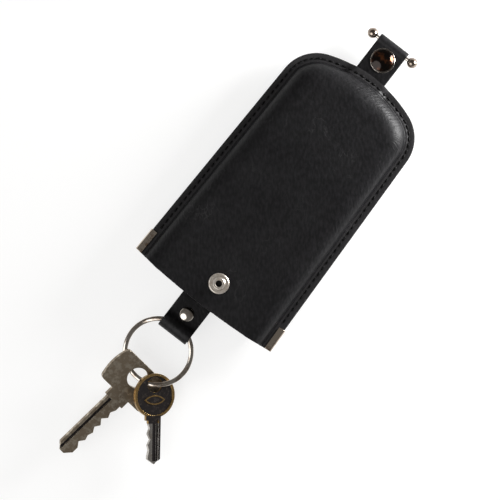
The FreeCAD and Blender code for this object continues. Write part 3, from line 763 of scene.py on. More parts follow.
@dataclass
class MouldedPanel:
    """One moulded half of the case: sewn margin, pressed line, foot, round shoulder and flat face."""

    side: Side
    bell: Bell = field(default_factory=Bell)
    seam: float = 8.9
    seam_gap: float = 0.02
    leather: float = 1.7
    # width of the margin, and height of the shoulder's foot over it
    margin: float = 3.9
    foot: float = 0.3
    shoulder: float = 8.6
    rise: float = 7.2
    shoulder_steps: int = 12
    # the face's slight crown, and how far in from the edge it rises
    crown: float = 0.35
    crown_from: tuple[float, float] = (8.0, 26.0)
    # the leather is uneven away from the edge and from the stud, which holds it flat
    loose_from: tuple[float, float] = (4.0, 10.0)
    stud: tuple[float, float] = (1.0, -45.2)
    stud_flat: tuple[float, float] = (6.0, 14.0)
    # name, size and height of each unevenness
    uneven: tuple[tuple[str, float, float], ...] = (("dents", 24.0, 0.5), ("ripples", 7.0, 0.16))
    # bridge over the strap: middle, half width, slope at its sides, and where it begins towards the crown
    bridge_x: float = -1.6
    bridge_half: float = 7.05
    bridge_slope: tuple[float, float] = (-0.2, 2.2)
    bridge_from: tuple[float, float] = (40.0, 47.0)
    # how far the bridge lifts the margin, and how far up the shoulder the lift is felt
    bridge_lift: float = 1.75
    bridge_reach: float = 4.2
    edge_round: float = 0.4

    @property
    def name(self) -> str:
        """Name of the panel's node."""
        return f"{self.side.value}_panel"

    def profile(self) -> list[tuple[float, float]]:
        """Draws the section from the cut edge inwards.

        Returns:
            Points as distance in and height over the margin's face.
        """
        # the margin: flat at the edge, pressed in along the stitches, then over a small ridge to the foot
        points = [(0.0, 0.0), (0.5, 0.0), (1.3, 0.0), (1.75, -0.14), (2.15, -0.2), (2.6, -0.16)]
        points += [(2.95, 0.08), (3.2, 0.14), (3.45, 0.14), (3.7, 0.16), (self.margin, self.foot)]
        for step in range(1, self.shoulder_steps + 1):
            turn = math.pi / 2 * step / self.shoulder_steps
            inward = self.margin + self.shoulder * (1 - math.cos(turn))
            points.append((inward, self.foot + (self.rise - self.foot) * math.sin(turn)))
        return points

    def bridge(self, x: np.ndarray) -> np.ndarray:
        """Share of the bridge's lift at places across the panel, 1 over the strap and 0 beside it."""
        low, high = (self.bridge_half + slope for slope in self.bridge_slope)
        return 1.0 - smooth_step(low, high, np.abs(x - self.bridge_x))

    def build(self) -> None:
        """Models the panel and dresses it."""
        piece = self.press()
        self.cut_mouth(piece)
        self.settle(piece)
        self.thicken(piece)
        self.dress(piece)

    def press(self) -> Piece:
        """Draws the bell as one face and insets it up the section, as the form presses the leather.

        Returns:
            The open sheet, with a grid over its flat face.
        """
        ring, profile = self.bell.ring(), self.profile()
        bpy.ops.object.select_all(action="DESELECT")
        bpy.ops.mesh.primitive_circle_add(vertices=len(ring), fill_type="NGON")
        piece = bpy.context.object
        piece.name = f"{self.name}_leather"
        set_points(piece, np.column_stack([ring, np.full(len(ring), self.seam + self.leather)]))
        with editing(piece) as form:
            form.faces.ensure_lookup_table()
            form.normal_update()
            upside_down = form.faces[0].normal.z < 0
            bpy.ops.mesh.select_all(action="SELECT")
            if upside_down:
                bpy.ops.mesh.flip_normals()
            bpy.ops.mesh.select_mode(type="FACE")
            for (inner, low), (outer, high) in zip(profile, profile[1:]):
                bpy.ops.mesh.inset(thickness=(outer - inner) * MM, depth=(high - low) * MM)
            self.lay_grid(piece)
        return piece

    def lay_grid(self, piece: Piece) -> None:
        """Swaps the flat face that is selected for an even grid.

        Args:
            piece: the panel in edit mode, with its top face selected.
        """
        bell = self.bell
        left_in = bell.corner_radius - self.profile()[-1][0]
        turn = (bell.lean + math.atan2(bell.corner_y, bell.corner_x)) / 2
        x, y = bell.corner_x + left_in * math.cos(turn), bell.corner_y + left_in * math.sin(turn)
        corner = Vector((x, y)) * MM
        form = bmesh.from_edit_mesh(piece.data)
        top = next(face for face in form.faces if face.select)
        rim = [vert.index for vert in top.verts]
        bpy.ops.mesh.delete(type="ONLY_FACE")
        bpy.ops.mesh.select_mode(type="VERT")
        bpy.ops.mesh.select_all(action="DESELECT")
        form = bmesh.from_edit_mesh(piece.data)
        form.verts.ensure_lookup_table()
        loop = [form.verts[index] for index in rim]
        for vert in loop:
            vert.select_set(True)
        form.select_flush(True)
        form.select_history.clear()
        form.select_history.add(min(loop, key=lambda vert: (vert.co.xy - corner).length))
        bmesh.update_edit_mesh(piece.data)
        bpy.ops.mesh.fill_grid(span=bell.across_steps, offset=0, use_interp_simple=True)

    def cut_mouth(self, piece: Piece) -> None:
        """Cuts the overrun off at the mouth and draws the cut to the mouth's shallow curve.

        Args:
            piece: the open sheet.
        """
        bell = self.bell
        mouth = (0.0, bell.mouth_y * MM, 0.0)
        with editing(piece):
            bpy.ops.mesh.select_all(action="SELECT")
            bpy.ops.mesh.bisect(plane_co=mouth, plane_no=(0.0, 1.0, 0.0), clear_inner=True, use_fill=False)
            bpy.ops.mesh.select_all(action="SELECT")
            bpy.ops.mesh.normals_make_consistent(inside=False)
        points = points_of(piece)
        near = 1.0 - smooth_step(bell.mouth_y, bell.mouth_y + bell.mouth_reach, points[:, 1])
        points[:, 1] -= bell.mouth_drop * (1.0 - (points[:, 0] / bell.mouth_half) ** 2) * near
        set_points(piece, points)

    def settle(self, piece: Piece) -> None:
        """Gives the leather the unevenness of moulding by hand, and the front its crown and bridge.

        Args:
            piece: the open sheet.
        """
        points = points_of(piece)
        depth, _ = self.bell.measure(points[:, :2])
        from_stud = np.hypot(points[:, 0] - self.stud[0], points[:, 1] - self.stud[1])
        loose = smooth_step(*self.stud_flat, from_stud) * smooth_step(*self.loose_from, depth)
        if self.side is Side.FRONT:
            points[:, 2] += self.crown * loose * smooth_step(*self.crown_from, depth)
            set_points(piece, points)
        weigh(piece, "loose", loose)
        for name, size, height in self.uneven:
            texture = bpy.data.textures.new(f"{self.name}_{name}", "CLOUDS")
            texture.noise_scale = size * MM
            push = {"strength": height * MM, "mid_level": 0.5, "vertex_group": "loose"}
            finish_with(piece, "DISPLACE", texture=texture, **push)
        if self.side is Side.FRONT:
            points = points_of(piece)
            over = self.bridge(points[:, 0]) * smooth_step(*self.bridge_from, points[:, 1])
            height = points[:, 2] - self.seam
            low = 1.0 - smooth_step(self.leather, self.leather + self.bridge_reach, height)
            points[:, 2] += self.bridge_lift * over * low
            set_points(piece, points)

    def thicken(self, piece: Piece) -> None:
        """Gives the sheet the leather's thickness, a flat seam and rounded cut edges.

        Args:
            piece: the open sheet.
        """
        wear(piece, LEATHER, FLESH, EDGE)
        sides = {"material_offset": 1, "material_offset_rim": 2, "use_even_offset": True}
        finish_with(piece, "SOLIDIFY", thickness=self.leather * MM, offset=-1.0, **sides)
        points = points_of(piece)
        points[:, 2] = np.maximum(points[:, 2], self.seam + self.seam_gap)
        if self.side is Side.BACK:
            points[:, 2] = np.maximum(2 * self.seam - points[:, 2], 0.0)
        set_points(piece, points)
        if self.side is Side.BACK:
            with editing(piece):
                bpy.ops.mesh.select_all(action="SELECT")
                bpy.ops.mesh.flip_normals()
        break_edges(piece, self.edge_round, angle=55.0)

    def dress(self, piece: Piece) -> None:
        """Keeps how far each point is from the edge, for the wrinkles, and sets the panel on its body.

        Args:
            piece: the thick panel.
        """
        depth, run = self.bell.measure(points_of(piece)[:, :2])
        store(piece, "edge_depth", depth)
        store(piece, "edge_run", run)
        shade(piece, angle=50.0)
        settle_on(piece, Body.POUCH, Slot.LEATHER, self.name)


@dataclass
class Stitching:
    """One row of saddle stitches in a panel's margin."""

    panel: MouldedPanel
    inset: float = 2.15
    pitch: float = 2.85
    length: float = 2.0
    thread: float = 0.7
    thread_sides: int = 8
    # share of a stitch that is straight, and degrees that it slants
    straight: float = 0.62
    slant: float = 4.0
    # how an end goes down into its hole: share of what is left, drop and size of the thread there
    ends: tuple[tuple[float, float, float], ...] = ((0.6, 0.12, 0.85), (0.4, 0.3, 0.6))
    # how far the thread's middle is sunk in the leather
    sunk: float = 0.05
    # how far from the mouth the row begins, clear of the corner clips
    start: float = 12.0

    def build(self) -> None:
        """Models one stitch, copies it along the margin and joins the row."""
        first = self.stitch()
        row = [self.copy_to(first, matrix) for matrix in self.places()]
        bpy.data.objects.remove(first)
        bpy.ops.object.select_all(action="DESELECT")
        for copy in row:
            copy.select_set(True)
        bpy.context.view_layer.objects.active = row[0]
        bpy.ops.object.join()
        piece = bpy.context.object
        piece.name = f"{self.panel.side.value}_stitching"
        wear(piece, THREAD)
        shade(piece, angle=60.0)
        settle_on(piece, Body.POUCH, Slot.LEATHER)

    def stitch(self) -> Piece:
        """Models one stitch along X at the origin, its ends drawn down into their holes.

        Returns:
            The stitch.
        """
        bpy.ops.object.select_all(action="DESELECT")
        bpy.ops.mesh.primitive_cylinder_add(
            vertices=self.thread_sides,
            radius=self.thread / 2 * MM,
            depth=self.length * self.straight * MM,
            rotation=(0.0, math.pi / 2, 0.0),
        )
        piece = bpy.context.object
        bpy.ops.object.transform_apply(location=False, rotation=True, scale=False)
        left = self.length / 2 * (1.0 - self.straight) * MM
        with editing(piece):
            for way in (-1, 1):
                pick(piece, Pick.FACES, lambda face: face.normal.x * way > FACING)
                for share, drop, size in self.ends:
                    move = (left * way * share, 0.0, -drop * MM)
                    bpy.ops.mesh.extrude_region_move(TRANSFORM_OT_translate={"value": move})
                    bpy.ops.transform.resize(value=(1.0, size, size))
        return piece

    def places(self) -> list[Matrix]:
        """Works out where the row's stitches go.

        Returns:
            One matrix for each stitch.
        """
        edge = self.panel.bell.edge()
        span = np.diff(edge, axis=0)
        length = np.linalg.norm(span, axis=1)
        along = np.concatenate([[0.0], np.cumsum(length)])
        count = int((along[-1] - 2 * (self.panel.bell.overrun + self.start)) / self.pitch) + 1
        first = (along[-1] - (count - 1) * self.pitch) / 2
        flip = Matrix.Identity(4) if self.panel.side is Side.FRONT else Matrix.Rotation(math.pi, 4, "X")
        places = []
        for run in first + self.pitch * np.arange(count):
            at = min(int(np.searchsorted(along, run, side="right")) - 1, len(span) - 1)
            heading = span[at] / length[at]
            inward = np.array([-heading[1], heading[0]])
            point = edge[at] + heading * (run - along[at]) + inward * self.inset
            turn = Matrix.Rotation(math.atan2(heading[1], heading[0]) + math.radians(self.slant), 4, "Z")
            places.append(Matrix.Translation(Vector((*point, self.height(point))) * MM) @ turn @ flip)
        return places

    def height(self, point: np.ndarray) -> float:
        """Works out how high the thread's middle is at one place of the margin.

        Args:
            point: the place's x and y.

        Returns:
            The height over the floor.
        """
        panel = self.panel
        face = panel.leather - self.sunk
        if panel.side is Side.BACK:
            return panel.seam - face
        on_bridge = point[1] > panel.bridge_from[1]
        return panel.seam + face + (panel.bridge_lift * panel.bridge(point[:1])[0] if on_bridge else 0.0)

    def copy_to(self, first: Piece, matrix: Matrix) -> Piece:
        """Copies the stitch to a place, with the place in its mesh.

        Args:
            first: the modelled stitch.
            matrix: where the copy goes.

        Returns:
            The copy.
        """
        alone(first)
        bpy.ops.object.duplicate()
        copy = bpy.context.object
        copy.data.transform(matrix)
        return copy


@dataclass
class PullStrap:
    """Leather strap through the case: its lower fold holds the ring, its upper one the pull bar."""

    width: float = 13.5
    width_cuts: int = 9
    leather: float = 1.48
    # share of the leather that is left at the folds, and how far from each fold it is skived
    skived: float = 0.8
    loop_skive: float = 2.2
    bar_skive: float = 1.5
    middle_x: float = -1.6
    seam: float = 8.9
    # height of each layer's middle over or under the seam
    layer: float = 0.75
    loop_y: float = -69.2
    loop_radius: float = 2.9
    loop_sweep: float = 4.5
    bar_y: float = 70.0
    bar_radius: float = 1.47
    bar_sweep: float = 2.0
    lower_end: float = -59.35
    upper_end: float = 58.1
    # steps of both short ends, of the long run between the folds, and of each fold's sweeps and round
    end_steps: tuple[int, int] = (4, 6)
    run_steps: int = 90
    loop_steps: tuple[int, int] = (7, 36)
    bar_steps: tuple[int, int] = (6, 28)
    edge_round: float = 0.35

    def build(self) -> None:
        """Draws the strap's section edge along its run and folds, and gives it its thickness."""
        piece = self.first_edge()
        self.draw(piece)
        self.thicken(piece)
        shade(piece, angle=50.0)
        settle_on(piece, Body.STRAP, Slot.LEATHER, "strap")

    def first_edge(self) -> Piece:
        """Adds a plane at the lower end and keeps one edge of it, as wide as the strap.

        Returns:
            The strap's first edge.
        """
        bpy.ops.object.select_all(action="DESELECT")
        bpy.ops.mesh.primitive_plane_add(size=self.width * MM)
        piece = bpy.context.object
        piece.name = "strap_leather"
        with editing(piece):
            pick(piece, Pick.VERTS, lambda vert: vert.co.y > 0)
            bpy.ops.mesh.delete(type="VERT")
            bpy.ops.mesh.select_all(action="SELECT")
            bpy.ops.mesh.subdivide(number_cuts=self.width_cuts)
        points = points_of(piece)
        points[:, 0] += self.middle_x
        points[:, 1] = self.lower_end
        points[:, 2] = self.seam - self.layer
        set_points(piece, points)
        return piece

    def fold(self, radius: float, sweep: float) -> tuple[float, float]:
        """Works out how a fold leaves the flat run.

        Args:
            radius: radius of the fold round its middle.
            sweep: radius of the arc between the flat run and the fold.

        Returns:
            How far before the fold's middle the arc begins, and the angle that it turns, in radians.
        """
        up = sweep + self.layer
        reach = radius + sweep
        return math.sqrt(reach**2 - up**2), math.acos(up / reach)

    def run(self, piece: Piece, y: float, steps: int) -> None:
        """Extrudes the selected edge straight to a place along the strap.

        Args:
            piece: the strap in edit mode.
            y: where the run ends.
            steps: how many pieces it is made in.
        """
        form = bmesh.from_edit_mesh(piece.data)
        start = next(vert.co.y for vert in form.verts if vert.select)
        move = (0.0, (y * MM - start) / steps, 0.0)
        for _ in range(steps):
            bpy.ops.mesh.extrude_region_move(TRANSFORM_OT_translate={"value": move})

    def turn(self, y: float, z: float, angle: float, steps: int) -> None:
        """Spins the selected edge by an angle in radians round an axis across the strap, in some steps."""
        middle = (0.0, y * MM, z * MM)
        bpy.ops.mesh.spin(steps=steps, angle=-angle, center=middle, axis=(1.0, 0.0, 0.0), dupli=False)

    def draw(self, piece: Piece) -> None:
        """Draws the edge from the lower end round the ring's fold, up the strap and round the bar's fold.

        Args:
            piece: the strap's first edge.
        """
        before, bend = self.fold(self.loop_radius, self.loop_sweep)
        ahead, curl = self.fold(self.bar_radius, self.bar_sweep)
        over = self.loop_sweep + self.layer
        above = self.bar_sweep + self.layer
        loop_sweep_steps, loop_steps = self.loop_steps
        bar_sweep_steps, bar_steps = self.bar_steps
        with editing(piece):
            bpy.ops.mesh.select_mode(type="EDGE")
            bpy.ops.mesh.select_all(action="SELECT")
            self.run(piece, self.loop_y + before, self.end_steps[0])
            self.turn(self.loop_y + before, self.seam - over, bend, loop_sweep_steps)
            self.turn(self.loop_y, self.seam, -(math.pi + 2 * bend), loop_steps)
            self.turn(self.loop_y + before, self.seam + over, bend, loop_sweep_steps)
            self.run(piece, self.bar_y - ahead, self.run_steps)
            self.turn(self.bar_y - ahead, self.seam + above, curl, bar_sweep_steps)
            self.turn(self.bar_y, self.seam, -(math.pi + 2 * curl), bar_steps)
            self.turn(self.bar_y - ahead, self.seam - above, curl, bar_sweep_steps)
            self.run(piece, self.upper_end, self.end_steps[1])
            merge(gap=0.01)
            bpy.ops.mesh.normals_make_consistent(inside=False)

    def thicken(self, piece: Piece) -> None:
        """Gives the strap its leather, skived at the folds, with rounded edges.

        Args:
            piece: the strap as an open sheet.
        """
        y = points_of(piece)[:, 1]
        low = self.loop_y + self.fold(self.loop_radius, self.loop_sweep)[0]
        high = self.bar_y - self.fold(self.bar_radius, self.bar_sweep)[0]
        above_loop = smooth_step(low - self.loop_skive, low, y)
        below_bar = 1.0 - smooth_step(high, high + self.bar_skive, y)
        weigh(piece, "full", above_loop * below_bar)
        wear(piece, STRAP_LEATHER, EDGE)
        thin = {"vertex_group": "full", "thickness_vertex_group": self.skived}
        sides = {"material_offset_rim": 1, "use_even_offset": True}
        finish_with(piece, "SOLIDIFY", thickness=self.leather * MM, offset=0.0, **thin, **sides)
        break_edges(piece, self.edge_round, angle=60.0)


@dataclass
class CarriedPart:
    """A metal part that keeps its CAD form, with its sharp edges broken and its curves shaded smooth."""

    node: str
    body: Body
    slot: Slot
    finish: Metal
    broken: float = 0.12
    angle: float = 32.0
    # points this near are one, and facets that turn by fewer degrees than flat are one face
    near: float = 0.002
    flat: float = 0.6

    def build(self) -> None:
        """Copies the node's mesh, merges it, breaks its edges and dresses it."""
        alone(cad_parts[self.node])
        bpy.ops.object.duplicate()
        piece = bpy.context.object
        for key in [key for key in piece.keys() if key.startswith("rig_")]:
            del piece[key]
        piece.parent = None
        piece.name = f"{self.node}_metal"
        piece.data.materials.clear()
        with editing(piece):
            merge(self.near)
            bpy.ops.mesh.customdata_custom_splitnormals_clear()
            bpy.ops.mesh.dissolve_limited(angle_limit=math.radians(self.flat))
        self.shape(piece)
        # a ring as narrow as two bevels is used up by them, and its empty faces are merged away
        with editing(piece):
            merge(self.near)
        self.dress(piece)
        shade(piece, self.angle)
        finish_with(piece, "WEIGHTED_NORMAL", weight=100, keep_sharp=True)
        settle_on(piece, self.body, self.slot, self.node)

    def shape(self, piece: Piece) -> None:
        """Breaks the part's sharp edges."""
        if self.broken:
            break_edges(piece, self.broken, self.angle)

    def dress(self, piece: Piece) -> None:
        """Gives the part its finish."""
        wear(piece, self.finish)


@dataclass
class CornerClip(CarriedPart):
    """Sheet clip round a corner of the mouth, whose folds are opened to the sheet's own bending radius."""

    tight: float = 0.25
    slack: float = 0.01
    fold: float = 0.9

    def shape(self, piece: Piece) -> None:
        """Scales both tight folds up from their corners, then breaks the other edges.

        Args:
            piece: the clip's merged mesh.
        """
        points = points_of(piece)
        out = np.sign(points[:, 0].mean()) * points[:, 0]
        mouth_end = points[:, 1] < points[:, 1].mean()
        edge = np.where(mouth_end, out[mouth_end].max(), out[~mouth_end].max())
        upper = points[:, 2] > points[:, 2].mean()
        corner = np.where(upper, points[:, 2].max(), points[:, 2].min())
        reach = self.tight + self.slack
        on_fold = (edge - out < reach) & (np.abs(corner - points[:, 2]) < reach)
        grow = np.where(on_fold, self.fold / self.tight, 1.0)
        points[:, 0] = np.sign(points[:, 0]) * (edge + (out - edge) * grow)
        points[:, 2] = corner + (points[:, 2] - corner) * grow
        set_points(piece, points)
        super().shape(piece)


@dataclass
class RimmedCap(CarriedPart):
    """Snap cap whose dome is painted dark and whose rolled rim is painted bright nickel: painted
    reflections of the dark room and of the white floor.
    """

    # the rim's bright nickel is a painted reflection of the white floor
    rim_finish: Metal = BRIGHT_NICKEL
    middle: tuple[float, float] = (-1.6, 63.5)
    rim: float = 4.36

    def dress(self, piece: Piece) -> None:
        """Gives dome and rim their finishes: a painted dark reflection on the dome and a painted bright one
        on the rim.

        Args:
            piece: the cap's merged mesh.
        """
        wear(piece, self.finish, self.rim_finish)
        for face in piece.data.polygons:
            out = math.hypot(face.center.x / MM - self.middle[0], face.center.y / MM - self.middle[1])
            # faces past the rim's radius take the painted bright reflection, the rest the painted dark one
            face.material_index = int(out > self.rim)


@dataclass
class WornKey(CarriedPart):
    """A key that is rubbed on its faces and keeps dark tarnish where it is sunk."""

    sunk_finish: Metal = TARNISH
    sunk: float = 0.2

    def dress(self, piece: Piece) -> None:
        """Gives the key its finish, and the floors of its grooves and recesses the sunk one.

        Args:
            piece: the key's merged mesh.
        """
        wear(piece, self.finish, self.sunk_finish)
        plane = self.plane(piece)
        levels = points_of(piece) @ plane
        for face in piece.data.polygons:
            height = np.dot(face.center, plane) / MM
            deep = min(levels.max() - height, height - levels.min()) > self.sunk
            face.material_index = KeyLayer.SUNK if deep and self.lies(face, plane) else KeyLayer.BODY

    def plane(self, piece: Piece) -> np.ndarray:
        """Normal of the key's plane, which is that of its largest face."""
        return np.array(max(piece.data.polygons, key=lambda face: face.area).normal)

    def lies(self, face: bpy.types.MeshPolygon | bmesh.types.BMFace, plane: np.ndarray) -> bool:
        """Whether a face lies along the key's plane."""
        return abs(np.dot(face.normal, plane)) > FACING


@dataclass(frozen=True)
class KeyAxes:
    """Directions and measures of a key with a round bow, taken from its mesh."""

    back: np.ndarray
    axis: np.ndarray
    across: np.ndarray
    plane: np.ndarray
    length: float
    straight: float

    def along(self, centre: Vector) -> float:
        """How far a place is from the back of the bow."""
        return float(np.dot(np.array(centre) / MM - self.back, self.axis))

    def inset(self, centre: Vector) -> float:
        """How far a place is in from the blade's straight edge."""
        return self.straight - float(np.dot(np.array(centre) / MM, self.across))


@dataclass
class RimmedKey(WornKey):
    """A plated key with a round bow: dark field and neck, brass edges and a bright grooved blade."""

    rim_finish: Metal = BARE_BRASS
    bow: float = 17.6
    # where the neck begins and ends, from the back of the bow
    neck: tuple[float, float] = (16.7, 19.8)
    # oval of the bow: how far it is past the middle, its reach, its rim and how far it is sunk
    oval_drop: float = 1.7
    oval_reach: float = 5.2
    oval_rim: float = 0.45
    oval_sunk: float = 0.12
    # worn back and groove of the blade, measured in from its straight edge
    worn_back: float = 0.8
    groove: tuple[float, float] = (2.2, 3.6)
    groove_depth: float = 0.25
    tip_clear: float = 1.2

    def dress(self, piece: Piece) -> None:
        """Cuts the blade's groove, and gives field, neck, edges and blade their finishes.

        Args:
            piece: the key's merged mesh.
        """
        key = self.axes(piece)
        self.cut_groove(piece, key)
        super().dress(piece)
        wear(piece, self.rim_finish)
        for face in piece.data.polygons:
            far, lying = key.along(face.center), self.lies(face, key.plane)
            if far > self.neck[1]:
                worn = face.material_index == KeyLayer.SUNK or key.inset(face.center) < self.worn_back
                face.material_index = KeyLayer.SUNK if lying and worn else KeyLayer.BODY
            elif far > self.neck[0]:
                face.material_index = KeyLayer.SUNK if lying else KeyLayer.RIM
            elif face.material_index == KeyLayer.BODY:
                face.material_index = KeyLayer.RIM
        self.sink_oval(piece, key)

    def axes(self, piece: Piece) -> KeyAxes:
        """Measures the key from its mesh.

        Args:
            piece: the key's merged mesh.

        Returns:
            Its directions, from the back of the bow to the tip and across to the blade's straight edge.
        """
        places, plane = points_of(piece), self.plane(piece)
        plane = plane * np.sign(plane[2])
        tip = places[np.argmax(np.linalg.norm(places - places.mean(axis=0), axis=1))]
        back = places[np.argmax(np.linalg.norm(places - tip, axis=1))]
        axis = tip - back - plane * np.dot(tip - back, plane)
        length = np.linalg.norm(axis)
        axis = axis / length
        across = np.cross(plane, axis)
        across = across * np.sign(across[0])
        on_blade = (places - back) @ axis > self.neck[1]
        return KeyAxes(back, axis, across, plane, length, (places[on_blade] @ across).max())

    def in_groove(self, face: bmesh.types.BMFace, key: KeyAxes, way: int) -> bool:
        """Tells whether a face of the blade lies in its groove.

        Args:
            face: a face of the key in edit mode.
            key: the key's directions.
            way: 1 for the upper side of the blade and -1 for the lower one.

        Returns:
            True in the groove of that side.
        """
        centre = face.calc_center_median()
        on_side = np.dot(face.normal, key.plane) * way > FACING
        on_blade = self.neck[1] < key.along(centre) < key.length - self.tip_clear
        return on_side and on_blade and self.groove[0] < key.inset(centre) < self.groove[1]

    def cut_groove(self, piece: Piece, key: KeyAxes) -> None:
        """Cuts the faces at the neck, tip, worn back and groove, and sinks the groove on both sides.

        Args:
            piece: the key's merged mesh.
            key: the key's directions.
        """
        with editing(piece):
            for far in (*self.neck, key.length - self.tip_clear):
                bpy.ops.mesh.select_all(action="SELECT")
                cut = tuple((key.back + key.axis * far) * MM)
                bpy.ops.mesh.bisect(plane_co=cut, plane_no=tuple(key.axis), use_fill=False)
            for deep in (self.worn_back, *self.groove):
                pick(piece, Pick.FACES, lambda face: key.along(face.calc_center_median()) > self.neck[1])
                cut = tuple(key.across * (key.straight - deep) * MM)
                bpy.ops.mesh.bisect(plane_co=cut, plane_no=tuple(key.across), use_fill=False)
            for way in (1, -1):
                pick(piece, Pick.FACES, lambda face: self.in_groove(face, key, way))
                sink = tuple(key.plane * (-way * self.groove_depth * MM))
                bpy.ops.mesh.extrude_region_move(TRANSFORM_OT_translate={"value": sink})

    def sink_oval(self, piece: Piece, key: KeyAxes) -> None:
        """Sinks the field of the bow's oval inside a narrow rim.

        Args:
            piece: the key with its finishes.
            key: the key's directions.
        """
        middle = Vector(key.back + key.axis * (self.bow / 2 + self.oval_drop)) * MM
        reach = self.oval_reach * MM

        def on_oval(face: bmesh.types.BMFace) -> bool:
            """Whether a face is the raised oval."""
            raised = self.lies(face, key.plane) and face.material_index == KeyLayer.RIM
            return raised and max((vert.co - middle).length for vert in face.verts) < reach

        with editing(piece):
            pick(piece, Pick.FACES, on_oval)
            bpy.ops.mesh.inset(thickness=self.oval_rim * MM, depth=-self.oval_sunk * MM)
            piece.active_material_index = KeyLayer.SUNK
            bpy.ops.object.material_slot_assign()


@dataclass
class SplitRing:
    """Split ring of rolled oval spring wire: two turns, one over the other, and a crossover."""

    middle: tuple[float, float, float] = (-1.6, -81.2211, 8.9)
    radius: float = 13.05
    width: float = 1.9
    thickness: float = 0.7
    sides: int = 16
    rise: float = 0.76
    # degrees that the crossover takes, its place round the ring, and degrees in one step of the wire
    crossover: float = 44.0
    place: float = 120.0
    step: float = 4.0
    ramp_steps: int = 11

    def build(self) -> None:
        """Draws the wire's section and winds it."""
        piece = self.section()
        with editing(piece):
            bpy.ops.mesh.select_mode(type="FACE")
            bpy.ops.mesh.select_all(action="SELECT")
            self.wind(360 - self.crossover)
            for step in range(self.ramp_steps):
                self.wind(self.crossover / self.ramp_steps)
                before, after = (math.cos(math.pi * at / self.ramp_steps) for at in (step, step + 1))
                bpy.ops.transform.translate(value=(0.0, 0.0, self.rise / 2 * (after - before) * MM))
            self.wind(360 - self.crossover)
            bpy.ops.mesh.select_all(action="SELECT")
            bpy.ops.mesh.normals_make_consistent(inside=False)
        wear(piece, SPRING_STEEL)
        shade(piece, angle=40.0)
        settle_on(piece, Body.RING, Slot.STEEL, "split_ring")

    def section(self) -> Piece:
        """Draws the wire's section where the upper turn begins.

        Returns:
            One oval face, standing across the wire.
        """
        bpy.ops.object.select_all(action="DESELECT")
        bpy.ops.mesh.primitive_circle_add(vertices=self.sides, radius=MM / 2, fill_type="NGON")
        piece = bpy.context.object
        piece.name = "split_ring_wire"
        with editing(piece):
            bpy.ops.mesh.select_all(action="SELECT")
            bpy.ops.transform.resize(value=(self.width, self.thickness, 1.0))
        start = Matrix.Rotation(math.radians(self.place + self.crossover), 4, "Z")
        out = Matrix.Translation((self.radius * MM, 0.0, self.rise / 2 * MM))
        upright = Matrix.Rotation(math.pi / 2, 4, "X")
        piece.data.transform(Matrix.Translation(Vector(self.middle) * MM) @ start @ out @ upright)
        return piece

    def wind(self, angle: float) -> None:
        """Spins the selected section round the ring's middle.

        Args:
            angle: degrees that it goes round.
        """
        steps = max(round(angle / self.step), 1)
        middle = Vector(self.middle) * MM
        bpy.ops.mesh.spin(
            steps=steps, angle=-math.radians(angle), center=middle, axis=(0.0, 0.0, 1.0), dupli=False
        )


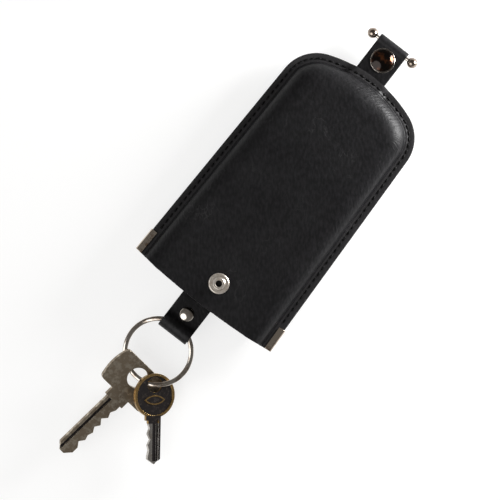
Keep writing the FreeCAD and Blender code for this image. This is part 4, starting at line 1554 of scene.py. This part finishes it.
@dataclass
class Studio:
    """Pale floor, soft light from the right of the picture, and the camera straight over the case."""

    # width of the picture, the place in its middle with its height, and degrees that the picture is turned
    across: float = 197.2
    middle: tuple[float, float] = (2.6, -27.4)
    focus: float = 8.9
    turn: float = 37.65
    # distance of the camera and width of its sensor
    reach: float = 900.0
    sensor: float = 36.0
    clip_end: float = 100.0
    floor_size: float = 6.0
    # room light at the level of the case and overhead, and the heights between which it changes
    horizon: str = "#f4f4f4"
    zenith: str = "#6a6866"
    fade: tuple[float, float] = (0.08, 0.5)

    def build(self) -> None:
        """Makes the floor, the world, the lamps and the camera."""
        self.floor()
        self.world()
        self.lamp("right_softbox", bearing=22.0, height=16.0, far=0.24, size=0.14, power=1.5)
        self.lamp("left_fill", bearing=215.0, height=48.0, far=1.2, size=1.2, power=7.5)
        self.camera()
        bpy.context.scene.view_settings.view_transform = "Standard"

    def floor(self) -> None:
        """Lays the pale floor."""
        bpy.ops.object.select_all(action="DESELECT")
        bpy.ops.mesh.primitive_plane_add(size=self.floor_size)
        piece = bpy.context.object
        piece.name = "studio_floor"
        wear(piece, MattPaper())

    def world(self) -> None:
        """Sets a plain pale room that is dimmer overhead, where the camera stands."""
        room = bpy.data.worlds.new("pale_room")
        room.use_nodes = True
        tree = room.node_tree
        tree.nodes.clear()
        place = add(tree, "ShaderNodeTexCoord").outputs["Generated"]
        up = add(tree, "ShaderNodeSeparateXYZ", {"Vector": place}).outputs["Z"]
        rise = {"Value": up, "From Min": self.fade[0], "From Max": self.fade[1]}
        share = add(tree, "ShaderNodeMapRange", rise, interpolation_type="SMOOTHSTEP")
        shades = {0: share, 6: linear(self.horizon), 7: linear(self.zenith)}
        colour = add(tree, "ShaderNodeMix", shades, data_type="RGBA")
        light = add(tree, "ShaderNodeBackground", {"Color": colour})
        add(tree, "ShaderNodeOutputWorld", {"Surface": light})
        bpy.context.scene.world = room

    def lamp(self, name: str, bearing: float, height: float, far: float, size: float, power: float) -> None:
        """Hangs one softbox that looks at the case.

        Args:
            name: the lamp's name.
            bearing: degrees from picture right, towards picture up.
            height: degrees over the floor.
            far: distance in metres.
            size: width of the round softbox in metres.
            power: watts.
        """
        around, up = math.radians(bearing + self.turn), math.radians(height)
        aim = Vector((math.cos(around) * math.cos(up), math.sin(around) * math.cos(up), math.sin(up)))
        light = bpy.data.lights.new(name, "AREA")
        light.shape = "DISK"
        light.size = size
        light.energy = power
        holder = bpy.data.objects.new(name, light)
        holder.location = aim * far
        holder.rotation_euler = aim.to_track_quat("Z", "Y").to_euler()
        holder.visible_camera = False
        bpy.context.scene.collection.objects.link(holder)

    def camera(self) -> None:
        """Puts a long lens straight over the case, turned to the photograph's framing."""
        lens = bpy.data.cameras.new("photo_camera")
        lens.sensor_width = self.sensor
        lens.lens = self.sensor * self.reach / self.across
        lens.clip_end = self.clip_end
        holder = bpy.data.objects.new("photo_camera", lens)
        holder.location = Vector((*self.middle, self.focus + self.reach)) * MM
        holder.rotation_euler = (0.0, 0.0, math.radians(self.turn))
        bpy.context.scene.collection.objects.link(holder)
        bpy.context.scene.camera = holder


def metal_parts() -> list[CarriedPart]:
    """Lists the metal parts.

    Returns:
        The parts in the order that they are built.
    """
    nickel, steel = Slot.NICKEL, Slot.STEEL
    return [
        CornerClip("left_corner_clip", Body.POUCH, Slot.SHEET, SHEET_NICKEL, broken=0.14),
        CornerClip("right_corner_clip", Body.POUCH, Slot.SHEET, SHEET_NICKEL, broken=0.14),
        CarriedPart("snap_stud", Body.POUCH, nickel, SATIN_NICKEL),
        CarriedPart("stud_eyelet", Body.POUCH, nickel, SATIN_NICKEL),
        CarriedPart("loop_rivet_cap", Body.STRAP, nickel, BRIGHT_NICKEL, broken=0.16),
        CarriedPart("loop_rivet_post", Body.STRAP, nickel, BRIGHT_NICKEL, broken=0.2),
        RimmedCap("snap_cap", Body.STRAP, nickel, PAINTED_REFLECTION_NICKEL, broken=0.2),
        CarriedPart("snap_socket", Body.STRAP, nickel, BRIGHT_NICKEL),
        CarriedPart("socket_spring", Body.STRAP, steel, SPRING_STEEL, broken=0.14),
        CarriedPart("pull_bar_rod", Body.PULL_BAR, steel, SPRING_STEEL, broken=0.0),
        CarriedPart("left_bar_ball", Body.PULL_BAR, nickel, HANDLED_NICKEL, broken=0.0),
        CarriedPart("right_bar_ball", Body.PULL_BAR, nickel, HANDLED_NICKEL, broken=0.0),
        WornKey("door_key", Body.DOOR_KEY, Slot.NICKEL_SILVER, NICKEL_SILVER, broken=0.2),
        RimmedKey("small_key", Body.SMALL_KEY, Slot.BRASS, BLADE_NICKEL, broken=0.16),
    ]


def write_sizes() -> None:
    """Updates the view layer, so that the pieces' places are current."""
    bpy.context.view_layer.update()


def main() -> None:
    """Builds the case's sub-assemblies in order and sets the studio round them."""
    logging.basicConfig(level=logging.INFO, format="%(name)s: %(message)s")
    for side in Side:
        panel = MouldedPanel(side)
        panel.build()
        Stitching(panel).build()
    PullStrap().build()
    SplitRing().build()
    for part in metal_parts():
        part.build()
    Studio().build()
    write_sizes()


if __name__ == "__main__":
    main()
